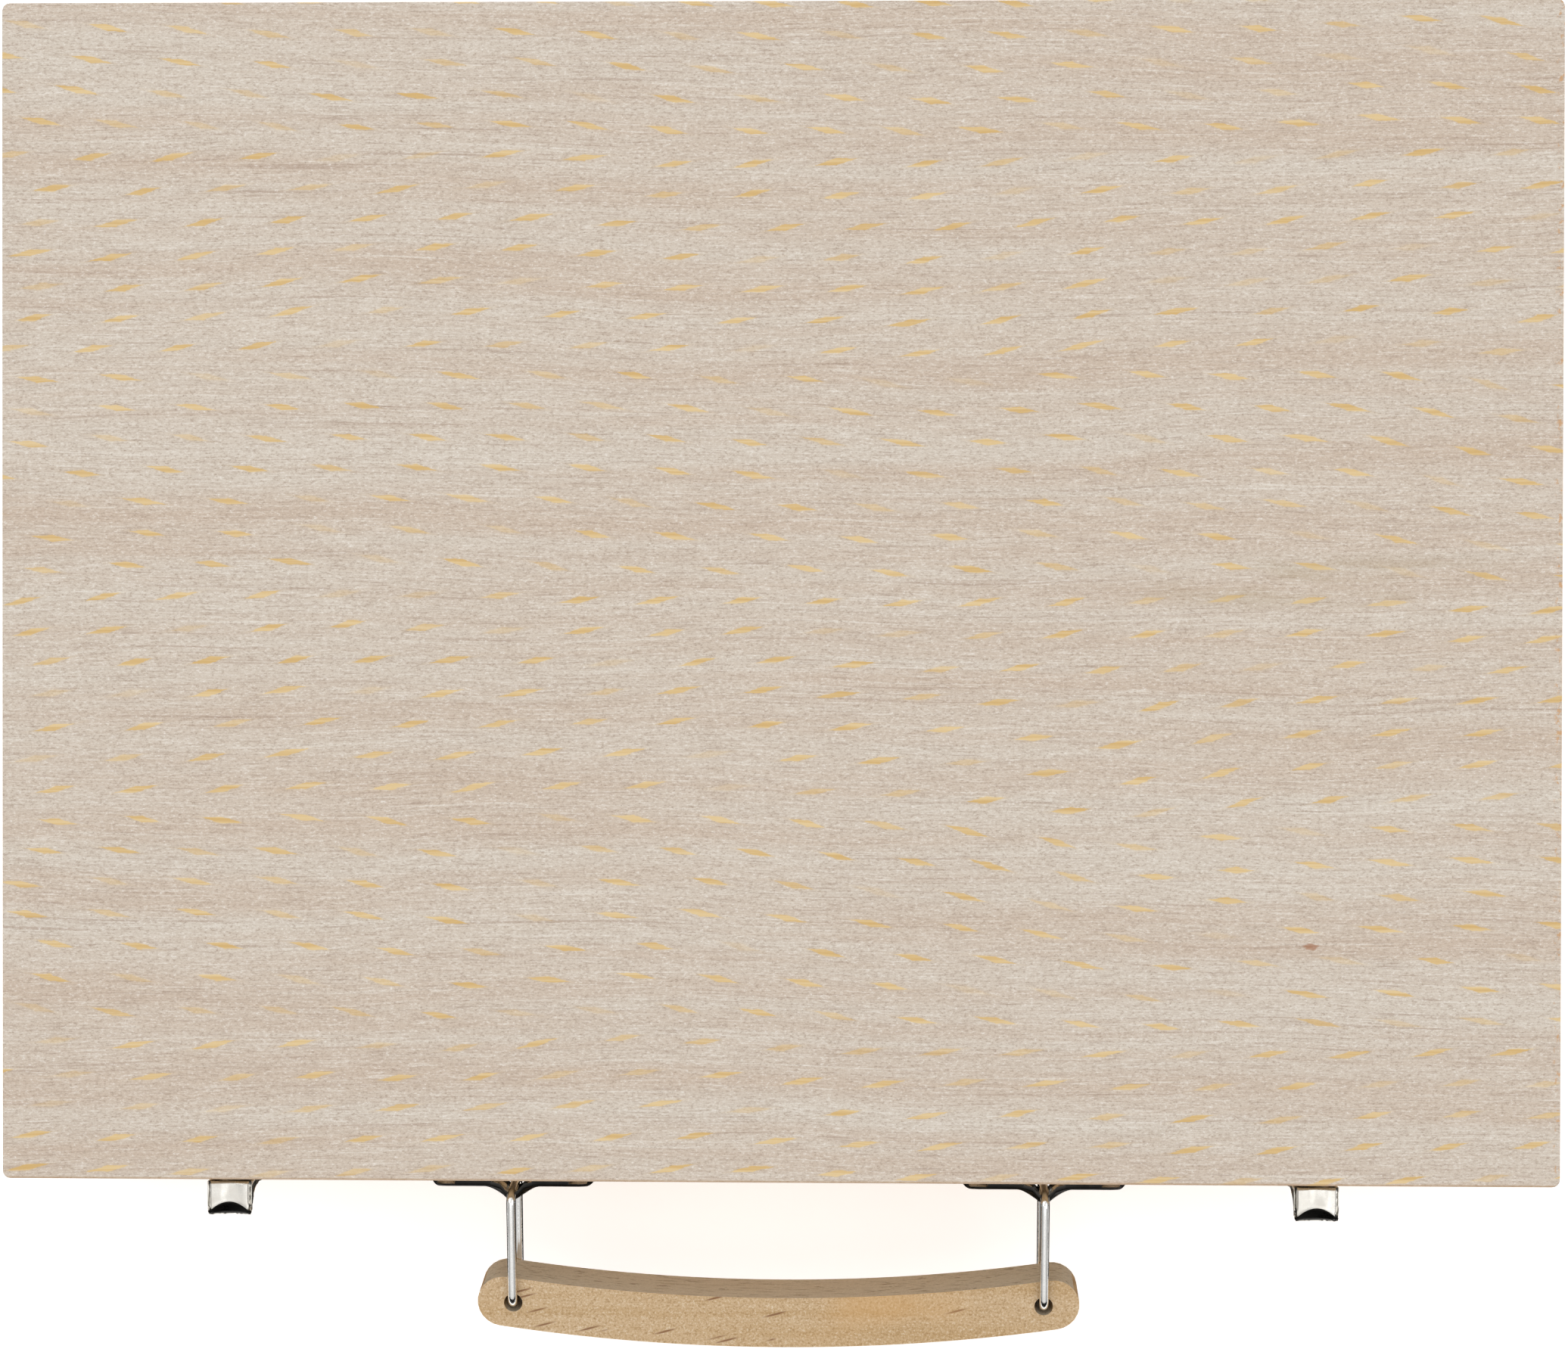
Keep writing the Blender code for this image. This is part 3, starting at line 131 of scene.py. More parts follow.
def veneer_plywood(name):
    """Sanded plywood faced with reconstituted veneer: pinkish beige, fine lines along X, and rows of
    small yellow lens-shaped flecks.  Its edges show the plies."""
    f = Finish(name, 0.62, specular=0.35)
    mm, x, y, z = place_of(f)
    nz = facing(f)[2]

    # Broad bands and fine lines, both drawn out along X.
    wander = f.add("TexNoise", f.add("Mapping", mm, (0.006, 0.012, 0.01)), 1.0, 2.0)
    drift = f.add("MapRange LINEAR", wander, 0.3, 0.7, -3.0, 3.0)
    y_bent = f.add("Math ADD", y, drift)
    grain = f.add("CombineXYZ", X=x, Y=y_bent, Z=z)
    bands = f.add("TexNoise", f.add("Mapping", grain, (0.003, 0.09, 0.09)), 1.0, 4.0, 0.62)
    lines = f.add("TexNoise", f.add("Mapping", grain, (0.011, 1.05, 1.05)), 1.0, 3.0, 0.62)
    hairs = f.add("TexNoise", f.add("Mapping", grain, (0.09, 2.3, 2.3)), 1.0, 3.0, 0.7)
    fuzz = f.add("TexNoise", f.add("Mapping", mm, (1.0, 2.1, 2.1)), 1.0, 3.0, 0.8)
    base = f.add("Mix", f.add("MapRange SMOOTHSTEP", bands, 0.30, 0.70), linear("CCBAA8"), linear("D4C9BB"))
    base = f.add("Mix", f.add("MapRange SMOOTHSTEP", lines, 0.26, 0.42, 0.60, 0.0), base, linear("E3DBCF"))
    base = f.add("Mix", f.add("MapRange SMOOTHSTEP", lines, 0.58, 0.74, 0.0, 0.60), base, linear("AE9786"))
    base = f.add("Mix", f.add("MapRange SMOOTHSTEP", hairs, 0.54, 0.72, 0.0, 0.60), base, linear("A69081"))
    base = f.add("Mix", f.add("MapRange SMOOTHSTEP", hairs, 0.46, 0.30, 0.0, 0.50), base, linear("EDE7DD"))
    base = f.add("Mix", f.add("MapRange SMOOTHSTEP", fuzz, 0.50, 0.72, 0.0, 0.85), base, linear("A79382"))
    base = f.add("Mix", f.add("MapRange SMOOTHSTEP", fuzz, 0.47, 0.27, 0.0, 0.80), base, linear("EFE9E1"))

    # The flecks stand in rows 8.38 mm apart and 20.6 to 24 mm apart in a row, each row set off.
    sway = f.add("TexNoise", f.add("Mapping", mm, (0.009, 0.009, 0.009)), 1.0, 1.0)
    # A slow sway and a bell curve round one place push the rows off straight.
    bulge_x = f.add("Math SUBTRACT", x, 90.0)
    bulge_y = f.add("Math ADD", y, 70.0)
    r2 = f.add(
        "Math ADD", f.add("Math MULTIPLY", bulge_x, bulge_x), f.add("Math MULTIPLY", bulge_y, bulge_y)
    )
    swell = f.add("Math MULTIPLY", f.add("Math POWER", 2.718, f.add("Math MULTIPLY", r2, -0.0007)), 5.0)
    y_row = f.add(
        "Math ADD", f.add("Math ADD", y, f.add("MapRange LINEAR", sway, 0.3, 0.7, -2.2, 2.2)), swell
    )
    row_at = f.add("Math DIVIDE", f.add("Math ADD", y_row, 349.8), 8.38)
    row = f.add("Math FLOOR", row_at)
    in_row = f.add("Math SUBTRACT", f.add("Math SUBTRACT", row_at, row), 0.5)
    row_luck = f.add("TexWhiteNoise 1D", W=row).outputs["Value"]
    pitch = f.add("MapRange LINEAR", row_luck, 0.0, 1.0, 20.6, 24.0)
    shift = f.add("Math ADD", f.add("Math MULTIPLY", row, 0.17), f.add("Math MULTIPLY", row_luck, 0.6))
    column_at = f.add("Math ADD", f.add("Math DIVIDE", f.add("Math ADD", x, 444.0), pitch), shift)
    column = f.add("Math FLOOR", column_at)
    in_column = f.add("Math SUBTRACT", f.add("Math SUBTRACT", column_at, column), 0.5)
    cell = f.add("CombineXYZ", X=column, Y=row, Z=3.0)
    luck = f.add("TexWhiteNoise 3D", Vector=cell)
    chance = f.add("SeparateColor", luck.outputs["Color"]).outputs
    dx = f.add(
        "Math ADD",
        f.add("Math MULTIPLY", in_column, pitch),
        f.add("MapRange LINEAR", chance[0], 0, 1, -1.0, 1.0),
    )
    dy = f.add(
        "Math ADD",
        f.add("Math MULTIPLY", in_row, 8.38),
        f.add("MapRange LINEAR", chance[1], 0, 1, -0.4, 0.4),
    )
    # Seven rows lean one way, and the next seven the other way.
    turn = f.add(
        "Math MODULO", f.add("Math FLOOR", f.add("Math DIVIDE", f.add("Math ADD", row, 7.5), 7.0)), 2.0
    )
    slope = f.add("MapRange LINEAR", turn, 0.0, 1.0, 0.165, -0.165)
    slope = f.add("Math ADD", slope, f.add("MapRange LINEAR", chance[2], 0, 1, -0.03, 0.03))
    across = f.add("Math SUBTRACT", dy, f.add("Math MULTIPLY", dx, slope))
    ragged = f.add("TexNoise", f.add("Mapping", mm, (0.25, 1.4, 1.4)), 1.0, 2.0, 0.7)
    across = f.add("Math ADD", across, f.add("MapRange LINEAR", ragged, 0.25, 0.75, -0.22, 0.22))
    half_length = f.add("MapRange LINEAR", chance[0], 0, 1, 5.0, 6.4)
    along = f.add("Math DIVIDE", f.add("Math ABSOLUTE", dx), half_length)
    room = f.add("Math MULTIPLY", f.add("Math SUBTRACT", 1.0, along), 0.92)
    inside = f.add("Math SUBTRACT", room, f.add("Math ABSOLUTE", across))
    fleck = f.add("MapRange SMOOTHSTEP", inside, -0.03, 0.14)
    fleck = f.add("Math MULTIPLY", fleck, f.add("Math LESS_THAN", along, 1.0))
    fleck = f.add("Math MULTIPLY", fleck, f.add("MapRange LINEAR", chance[2], 0.01, 0.45, 0.15, 0.92))
    gold = f.add("Mix", f.add("MapRange SMOOTHSTEP", lines, 0.35, 0.65), linear("E5CA96"), linear("D4AE69"))
    base = f.add("Mix", fleck, base, gold)
    halo = f.add("MapRange SMOOTHSTEP", inside, -0.7, 0.1, 0.0, 0.12)
    base = f.add("Mix", halo, base, linear("D6B98A"))

    # Small dark specks, a few pale brown smudges and one knot.
    spots = f.add("TexVoronoi", Vector=f.add("Mapping", mm, (0.020, 0.028, 0.028)), Scale=1.0)
    speck_luck = f.add("SeparateColor", spots.outputs["Color"]).outputs[0]
    speck = f.add(
        "Math MULTIPLY",
        f.add("MapRange SMOOTHSTEP", spots.outputs["Distance"], 0.026, 0.008),
        f.add("MapRange SMOOTHSTEP", speck_luck, 0.74, 0.78),
    )
    base = f.add("Mix", f.add("Math MULTIPLY", speck, 0.75), base, linear("7C6A50"))
    smudge = f.add("TexNoise", f.add("Mapping", mm, (0.020, 0.10, 0.10)), 1.0, 3.0, 0.6)
    line_y = f.add("MapRange SMOOTHSTEP", f.add("Math ABSOLUTE", f.add("Math SUBTRACT", y, 3.0)), 9.0, 2.0)
    side_x = f.add("MapRange SMOOTHSTEP", x, 60.0, 150.0)
    smudge = f.add(
        "Math MULTIPLY",
        f.add("Math MULTIPLY", f.add("MapRange SMOOTHSTEP", smudge, 0.46, 0.66), line_y),
        side_x,
    )
    base = f.add("Mix", f.add("Math MULTIPLY", smudge, 0.38), base, linear("A58E66"))
    kx = f.add("Math DIVIDE", f.add("Math SUBTRACT", x, 140.5), 1.7)
    ky = f.add("Math DIVIDE", f.add("Math ADD", y, 93.0), 1.0)
    knot_r = f.add(
        "Math SQRT", f.add("Math ADD", f.add("Math MULTIPLY", kx, kx), f.add("Math MULTIPLY", ky, ky))
    )
    knot_r = f.add("Math ADD", knot_r, f.add("MapRange LINEAR", ragged, 0.2, 0.8, -0.8, 0.8))
    base = f.add("Mix", f.add("MapRange SMOOTHSTEP", knot_r, 1.2, 0.5, 0.0, 0.75), base, linear("A5714F"))

    # Tan splinters along the right edge, and a warm line along the front edge.
    edge_x = f.add("Math SUBTRACT", 206.0, x)
    chips = f.add("TexNoise", f.add("Mapping", mm, (0.5, 0.32, 0.5)), 1.0, 3.0, 0.7)
    chips = f.add(
        "Math MULTIPLY",
        f.add("MapRange SMOOTHSTEP", chips, 0.56, 0.64),
        f.add("MapRange SMOOTHSTEP", edge_x, 2.6, 0.9),
    )
    base = f.add("Mix", f.add("Math MULTIPLY", chips, 0.75), base, linear("CC9B68"))
    edge_y = f.add("Math ADD", y, 156.0)
    base = f.add("Mix", f.add("MapRange SMOOTHSTEP", edge_y, 0.75, 0.25, 0.0, 0.55), base, linear("B08A5E"))

    # The edges show three plies, the middle one as dark end grain.
    low = f.add("Math PINGPONG", f.add("Math SUBTRACT", z, 62.0), 4.0)
    pores = f.add("TexNoise", f.add("Mapping", mm, (1.1, 1.1, 2.4)), 1.0, 3.0, 0.7)
    core = f.add("Mix", f.add("MapRange SMOOTHSTEP", pores, 0.35, 0.7), linear("C9A878"), linear("8F6B45"))
    skin = f.add("Mix", f.add("MapRange SMOOTHSTEP", lines, 0.3, 0.7), linear("D8BE98"), linear("C6A67A"))
    from_core = f.add("Math ABSOLUTE", f.add("Math SUBTRACT", low, 2.0))
    side = f.add("Mix", f.add("MapRange SMOOTHSTEP", from_core, 1.02, 0.90), skin, core)
    glue = f.add(
        "MapRange SMOOTHSTEP", f.add("Math ABSOLUTE", f.add("Math SUBTRACT", from_core, 0.98)), 0.09, 0.03
    )
    side = f.add("Mix", f.add("Math MULTIPLY", glue, 0.5), side, linear("6E4F33"))
    f.wire("Base Color", f.add("Mix", f.add("MapRange SMOOTHSTEP", nz, 0.45, 0.25), base, side))
    f.wire("Roughness", f.add("MapRange LINEAR", hairs, 0.3, 0.7, 0.56, 0.70))
    height = f.add("Math ADD", f.add("Math MULTIPLY", hairs, 0.7), f.add("Math MULTIPLY", lines, 0.5))
    f.wire("Normal", f.add("Bump", Height=height, Distance=0.00010, Strength=0.55))
    return f.material


def solid_wood(name, along, pale, mid, dark, pore, gloss=0.52, streaks=0.0):
    """Planed and sanded solid wood: growth bands and short brown rays along the board, end grain with
    curved rings where it is cut across.  along is 0, 1 or 2, the axis of the grain."""
    f = Finish(name, gloss, specular=0.4)
    mm, x, _y, _z = place_of(f)
    normals = facing(f)
    long = [0.010, 0.20, 0.20]
    short = [0.12, 1.6, 1.6]
    hair = [0.35, 4.0, 4.0]
    for pattern in (long, short, hair):
        pattern[0], pattern[along] = pattern[along], pattern[0]
    bands = f.add("TexNoise", f.add("Mapping", mm, tuple(long)), 1.0, 4.0, 0.6)
    rays = f.add("TexNoise", f.add("Mapping", mm, tuple(short)), 1.0, 3.0, 0.62)
    hairs = f.add("TexNoise", f.add("Mapping", mm, tuple(hair)), 1.0, 2.0, 0.6)
    face = f.add("Mix", f.add("MapRange SMOOTHSTEP", bands, 0.32, 0.68), linear(pale), linear(mid))
    face = f.add("Mix", f.add("MapRange SMOOTHSTEP", rays, 0.52, 0.74, 0.0, 0.45), face, linear(dark))
    face = f.add("Mix", f.add("MapRange SMOOTHSTEP", hairs, 0.60, 0.78, 0.0, 0.45), face, linear(pore))
    if streaks:
        # Rays cut across show as short brown lenses, thick on one half, and sanding leaves a stipple.
        stipple = f.add("TexNoise", mm, 1.7, 3.0, 0.8)
        face = f.add(
            "Mix", f.add("MapRange SMOOTHSTEP", stipple, 0.50, 0.68, 0.0, 0.75), face, linear("97733F")
        )
        face = f.add(
            "Mix", f.add("MapRange SMOOTHSTEP", stipple, 0.48, 0.30, 0.0, 0.75), face, linear("E8D8BE")
        )
        tilt = f.add("Mapping", Vector=mm, Rotation=(0, 0, -0.26))
        tilt = f.add("Mapping", tilt, (0.065, 0.66, 0.10))
        cells = f.add("TexVoronoi", Vector=tilt, Scale=1.0, Randomness=0.8)
        pick = f.add("SeparateColor", cells.outputs["Color"]).outputs[0]
        wanted = f.add("MapRange LINEAR", x, 20.0, -30.0, 0.93, 0.60)
        picked = f.add("MapRange SMOOTHSTEP", f.add("Math SUBTRACT", pick, wanted), 0.0, 0.01)
        worn = f.add(
            "Math ADD", cells.outputs["Distance"], f.add("MapRange LINEAR", stipple, 0.3, 0.7, -0.06, 0.06)
        )
        mark = f.add("Math MULTIPLY", f.add("MapRange SMOOTHSTEP", worn, 0.26, 0.10, 0.0, streaks), picked)
        face = f.add("Mix", mark, face, linear("7C4F2A"))
        glow = f.add("TexNoise", f.add("Mapping", mm, (0.022, 0.05, 0.05)), 1.0, 2.0)
        face = f.add(
            "Mix", f.add("MapRange SMOOTHSTEP", glow, 0.45, 0.75, 0.0, 0.45), face, linear("CF9F5F")
        )
        # Painted shade: the edges, the faces turned sideways, are painted greyer and darker, with nicks and
        # a stipple in the grey; a painted highlight, a thin pale line, runs round each face.
        painted_edge_shade = f.add("MapRange SMOOTHSTEP", normals[2], 0.55, 0.35)
        grey = f.add(
            "Mix", f.add("MapRange SMOOTHSTEP", rays, 0.55, 0.68), linear("C3B6A0"), linear("92816A")
        )
        nicks = f.add("TexNoise", f.add("Mapping", mm, (0.22, 1.5, 1.1)), 1.0, 2.0, 0.6)
        grey = f.add(
            "Mix", f.add("MapRange SMOOTHSTEP", nicks, 0.62, 0.70, 0.0, 0.8), grey, linear("6E5B43")
        )
        grey = f.add(
            "Mix", f.add("MapRange SMOOTHSTEP", stipple, 0.50, 0.70, 0.0, 0.5), grey, linear("E0D8CA")
        )
        grey = f.add(
            "Mix", f.add("MapRange SMOOTHSTEP", stipple, 0.46, 0.28, 0.0, 0.5), grey, linear("8E7F68")
        )
        # Painted shade, laid over the faces turned sideways.
        face = f.add("Mix", f.add("Math MULTIPLY", painted_edge_shade, 0.9), face, grey)
        # Painted highlight along the turn from face to edge.
        painted_edge_highlight = f.add(
            "Math MULTIPLY",
            f.add("MapRange SMOOTHSTEP", normals[2], 0.50, 0.62),
            f.add("MapRange SMOOTHSTEP", normals[2], 0.97, 0.90),
        )
        face = f.add("Mix", f.add("Math MULTIPLY", painted_edge_highlight, 0.9), face, linear("EBDDBE"))
    rings = f.add(
        "TexWave",
        Vector=f.add("Mapping", Vector=mm, Location=(14.0, -23.0, -31.0)),
        Scale=0.13,
        Distortion=2.2,
        Detail=2.0,
        Detail_Scale=0.4,
        wave_type="RINGS",
        rings_direction="XYZ"[along],
    )
    pores = f.add("TexNoise", f.add("Mapping", mm, (2.2, 2.2, 2.2)), 1.0, 2.0, 0.7)
    end = f.add("Mix", f.add("MapRange SMOOTHSTEP", rings, 0.2, 0.9), linear(mid), linear(dark))
    end = f.add("Mix", f.add("MapRange SMOOTHSTEP", pores, 0.45, 0.7, 0.0, 0.55), end, linear(pore))
    f.wire("Base Color", f.add("Mix", f.add("MapRange SMOOTHSTEP", normals[along], 0.72, 0.86), face, end))
    f.wire("Roughness", f.add("MapRange LINEAR", rays, 0.3, 0.7, gloss - 0.04, gloss + 0.08))
    relief = f.add("Math ADD", f.add("Math MULTIPLY", hairs, 0.6), rays)
    f.wire("Normal", f.add("Bump", Height=relief, Distance=0.00012, Strength=0.5))
    return f.material


# ---------------------------------------------------------------- metals


def plated_metal(name, tint, gloss, lines_along, wear=0.0):
    """Nickel or zinc plate over stamped steel: even and bright, with fine rolling lines one way and a
    faint haze of handling."""
    f = Finish(name, gloss, metallic=1.0)
    mm = place_of(f)[0]
    fine = [9.0, 9.0, 9.0]
    fine[lines_along] = 0.35
    lines = f.add("TexNoise", f.add("Mapping", mm, tuple(fine)), 1.0, 2.0, 0.6)
    haze = f.add("TexNoise", mm, 0.22, 3.0, 0.6)
    tone = f.add(
        "Mix",
        f.add("MapRange SMOOTHSTEP", haze, 0.35, 0.75, 0.0, 0.5 + wear),
        linear(tint[0]),
        linear(tint[1]),
    )
    tone = f.add("Mix", f.add("MapRange SMOOTHSTEP", lines, 0.5, 0.75, 0.0, 0.22), tone, linear(tint[2]))
    f.wire("Base Color", tone)
    rough = f.add("MapRange LINEAR", haze, 0.3, 0.75, gloss - 0.05, gloss + 0.10)
    f.wire("Roughness", f.add("Math ADD", rough, f.add("MapRange LINEAR", lines, 0.3, 0.7, -0.02, 0.05)))
    f.wire("Normal", f.add("Bump", Height=lines, Distance=0.00002, Strength=0.5))
    return f.material


NICKEL_TINTS = ("D9D6CF", "BFB9AE", "9B958A")
BRIGHT_TINTS = ("F2F1EE", "DEDBD5", "BDB9B2")
# Near-black tints of the painted dark reflection on rims and lips.
PAINTED_DARK_TINTS = ("33312F", "1F1E1C", "4A4743")
ZINC_TINTS = ("C3C6C8", "A2A6A9", "84888B")

VENEER = veneer_plywood("reconstituted_veneer_plywood_sanded")
BEECH = [
    solid_wood("beech_planed_" + way, k, "DDBE93", "CFA878", "B98B5C", "8F6238")
    for k, way in enumerate(("across_the_case", "front_to_back", "upright"))
]
GRIP_WOOD = solid_wood(
    "beech_grip_sanded_and_waxed", 0, "CDB08A", "C1A073", "B08C5C", "9B754C", 0.50, 0.85
)
# Drawn wire takes a mirror-bright plate; stampings are brushed along their height and so softer.
NICKEL_BRIGHT = plated_metal("nickel_plate_bright_drawn_wire", BRIGHT_TINTS, 0.12, 1)
NICKEL_BRUSHED = plated_metal("nickel_plate_brushed_stamping", NICKEL_TINTS, 0.27, 2)
# Rolled rims and the scooped lips take a dark copy of the nickel, a painted dark reflection, and read as
# black lines beside the bright faces.
PAINTED_DARK_REFLECTION = plated_metal("nickel_plate_painted_dark_reflection_on_edges", PAINTED_DARK_TINTS, 0.28, 0)
# Zinc is cooler, greyer and duller than nickel.
ZINC = plated_metal("zinc_plate_on_rolled_steel", ZINC_TINTS, 0.38, 1, 0.2)


def finish_for(node):
    """The finish of a carried CAD node, by what it is and by its grain's direction."""
    if node in ("lid_panel", "base_panel", "palette"):
        return VENEER
    if node == "grip":
        return GRIP_WOOD
    if node.startswith(("base_board", "lid_rail")):
        return BEECH[0] if node.endswith(("front", "back")) else BEECH[1]
    if node.startswith(("tray_wall", "tray_cross", "clamp_track")):
        return BEECH[1]
    if node.startswith(("tray_long", "canvas")):
        return BEECH[0]
    if node.startswith("stay") and "nut" not in node or node == "clamp_bolt":
        return ZINC
    if node.startswith("bail"):
        return NICKEL_BRIGHT
    return NICKEL_BRUSHED


for node, holder in NODES.items():
    holder.data.materials.clear()
    holder.data.materials.append(finish_for(node))


# ---------------------------------------------------------------- surfaces


def grid_mesh(name, points, finish, wrap_u=False, wrap_v=False, caps=False, smooth=True):
    """A sheet of quads through an array of points[u, v, 3], closed round u or v where asked; caps
    close the two ends of a tube."""
    nu, nv = points.shape[:2]
    mesh = bpy.data.meshes.new(name)
    u = np.arange(nu if wrap_u else nu - 1)
    v = np.arange(nv if wrap_v else nv - 1)
    a, b = np.meshgrid(u, v, indexing="ij")
    a2, b2 = (a + 1) % nu, (b + 1) % nv
    quads = np.stack([a * nv + b, a2 * nv + b, a2 * nv + b2, a * nv + b2], -1).reshape(-1, 4)
    faces = quads.tolist()
    if caps:
        faces += [list(range(nv)), [(nu - 1) * nv + k for k in reversed(range(nv))]]
    mesh.from_pydata(points.reshape(-1, 3).tolist(), [], faces)
    mesh.materials.append(finish)
    mesh.update()
    if smooth:
        mesh.shade_smooth()
        mesh.set_sharp_from_angle(angle=math.radians(50))
    obj = bpy.data.objects.new(name, mesh)
    bpy.context.scene.collection.objects.link(obj)
    return obj


def box_of(node):
    low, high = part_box(node)
    return np.array(low), np.array(high)


def middle(node, axis):
    """The middle of a CAD node's box along one axis."""
    low, high = box_of(node)
    return float(low[axis] + high[axis]) / 2


def swept(path, closed, radius, sides):
    """A round tube: at each point of the path, a circle in the plane square to the path's tangent."""
    if closed:
        tangent = np.roll(path, -1, 0) - np.roll(path, 1, 0)
    else:
        tangent = np.gradient(path, axis=0)
    tangent /= np.linalg.norm(tangent, axis=1, keepdims=True)
    side = np.array([1.0, 0, 0]) - tangent * tangent[:, :1]
    side /= np.linalg.norm(side, axis=1, keepdims=True)
    up = np.cross(tangent, side)
    angle = np.linspace(0, 2 * np.pi, sides, endpoint=False)
    ring = np.cos(angle)[None, :, None] * side[:, None] + np.sin(angle)[None, :, None] * up[:, None]
    return path[:, None] + radius * ring


DROOP = math.radians(9)
BAIL_LENGTH, BAIL_HALF, WIRE, BEND = 30.5 * MM, 9.15 * MM, 1.25 * MM, 2.6 * MM
FRONT = box_of("lid_panel")[0][1]
PLATE_Z = middle("handle_plate_left", 2)
BAR_Y = FRONT - 3.5 * MM


def drooped(x, y, z):
    """Points of the handle's own sloping frame in the case's frame."""
    c, s = math.cos(DROOP), math.sin(DROOP)
    return np.stack([x, BAR_Y + c * y - s * z, PLATE_Z + s * y + c * z], -1)


def bail(name, node, x0):
    """A ring of wire: a rectangle with round corners, swept with a circle."""
    straight = np.linspace(0, 1, 14, endpoint=False)
    turn = np.linspace(0, np.pi / 2, 12, endpoint=False)
    half, long = BAIL_HALF, BAIL_LENGTH
    ys, zs = [], []
    for k, (cy, cz) in enumerate(((-BEND, half - BEND), (-long + BEND, half - BEND),
                                  (-long + BEND, -half + BEND), (-BEND, -half + BEND))):
        angle = k * np.pi / 2 + turn
        ys.append(cy + BEND * np.cos(angle))
        zs.append(cz + BEND * np.sin(angle))
        run_y = (-(long - 2 * BEND), 0, long - 2 * BEND, 0)[k]
        run_z = (0, -(2 * half - 2 * BEND), 0, 2 * half - 2 * BEND)[k]
        end = angle[-1] + turn[1]
        ys.append(cy + BEND * np.cos(end) + run_y * straight)
        zs.append(cz + BEND * np.sin(end) + run_z * straight)
    y, z = np.concatenate(ys), np.concatenate(zs)
    path = drooped(np.full_like(y, x0), y, z)
    ring = grid_mesh(name, swept(path, True, WIRE, 20), NICKEL_BRIGHT, True, True)
    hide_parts(node)
    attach(ring, node)


PLATE_HALF = 22.3 * MM
SCREW_OUT = 12.3 * MM  # from a plate's middle to each screw


def plate_height(x):
    """A handle plate's stand-off along its length, x from its middle: ends curled to the wall, a low web,
    which handle_plate dips at the screws, and a V ridge with a rounded top."""
    a = np.abs(x)
    end = np.clip((PLATE_HALF - a) / (2.6 * MM), 0, 1)
    web = 3.1 * MM * np.sqrt(1 - (1 - end) ** 2)
    share = np.clip(a / (7.2 * MM), 0, 1)
    ridge = 0.5 * (1 + np.cos(np.pi * share)) * 0.45 + 0.55 * (1 - share) ** 1.1
    return np.maximum(web, 0.75 * MM), 3.8 * MM * ridge


def keeper(name, node, x0):
    """A catch plate: a strip against the wall that swells into a rounded nose under the flap's tip.
    Its reach is a thin plate's, plus a bell curve of its height about the nose."""
    low, high = box_of(node)
    z = np.linspace(float(low[2]), float(high[2]) - 2.6 * MM, 40)
    nose = float(high[2]) - 8.0 * MM
    reach = 0.9 * MM + 1.2 * MM * np.exp(-(((z - nose) / (2.4 * MM)) ** 2))
    across = np.linspace(-4.0, 4.0, 9) * MM
    points = np.stack(np.broadcast_arrays(x0 + across[None], FRONT - reach[:, None], z[:, None]), -1)
    plate = grid_mesh(name, points, NICKEL_BRUSHED)
    sheet = plate.modifiers.new("sheet", "SOLIDIFY")
    sheet.thickness = 0.6 * MM
    sheet.offset = -1
    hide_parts(node)
    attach(plate, "lid")


# Past this share the rolled rim takes the painted dark reflection.
RIM_FROM = 0.76  # the share of a plate's half height past which its rim is dark


def handle_plate(name, node, x0):
    """A stamped strip.  Its face is a height over length and height: the web, plus the ridge, which
    is domed down at top and bottom but for a channel that the wire runs through."""
    u = np.linspace(-1, 1, 141)
    v = np.linspace(-1, 1, 37)
    x = PLATE_HALF * u
    past = np.clip((np.abs(x) - 17.3 * MM) / (5.15 * MM), 0, 1)
    tall = 6.9 * MM * np.sqrt(1 - past**2)
    X, V = np.meshgrid(x, v, indexing="ij")
    Z = V * tall[:, None]
    web, ridge = plate_height(X)
    dome = np.clip((np.abs(Z) - 3.3 * MM) / (3.6 * MM), 0, 1)
    dome = dome * dome * (3 - 2 * dome)
    channel = np.clip((np.abs(X) - 1.7 * MM) / (1.6 * MM), 0, 1)
    out = web + ridge * (1 - 0.50 * dome * channel)
    dimple = np.hypot(np.abs(X) - SCREW_OUT, Z) / (3.6 * MM)
    out -= 1.0 * MM * np.exp(-(dimple**4))
    roll = np.clip((np.abs(V) - 0.66) / 0.34, 0, 1)
    flat = out.copy()
    out -= (0.9 * MM + 0.2 * ridge) * (1 - np.sqrt(1 - 0.98 * roll**2))
    face = np.stack([x0 + X, FRONT - out, PLATE_Z + Z], -1)
    inner = np.where(np.abs(np.abs(X) - 17.6 * MM) < 2.5 * MM, flat - 0.85 * MM, 0.35 * MM)
    hollow = np.abs(X) < 5.6 * MM
    inner = np.where(hollow, np.maximum(out - 0.95 * MM, 0.35 * MM), inner)
    inner = np.minimum(np.maximum(inner, 0.3 * MM), out - 0.12 * MM)
    back = np.stack([x0 + X, FRONT - inner, PLATE_Z + Z], -1)
    ring = np.concatenate([face, back[:, ::-1]], axis=1)
    plate = grid_mesh(name, ring, NICKEL_BRUSHED, False, True, True)
    # The rolled rim's faces take the painted dark reflection.
    plate.data.materials.append(PAINTED_DARK_REFLECTION)
    around = np.abs(np.concatenate([v, v[::-1]]))
    at_rim = np.minimum(around, np.roll(around, -1)) > RIM_FROM
    rim = np.concatenate([np.tile(at_rim, len(u) - 1), [True, True]])
    plate.data.polygons.foreach_set("material_index", rim.astype(np.int32))
    plate.data.flip_normals()
    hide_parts(node)
    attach(plate, "lid")


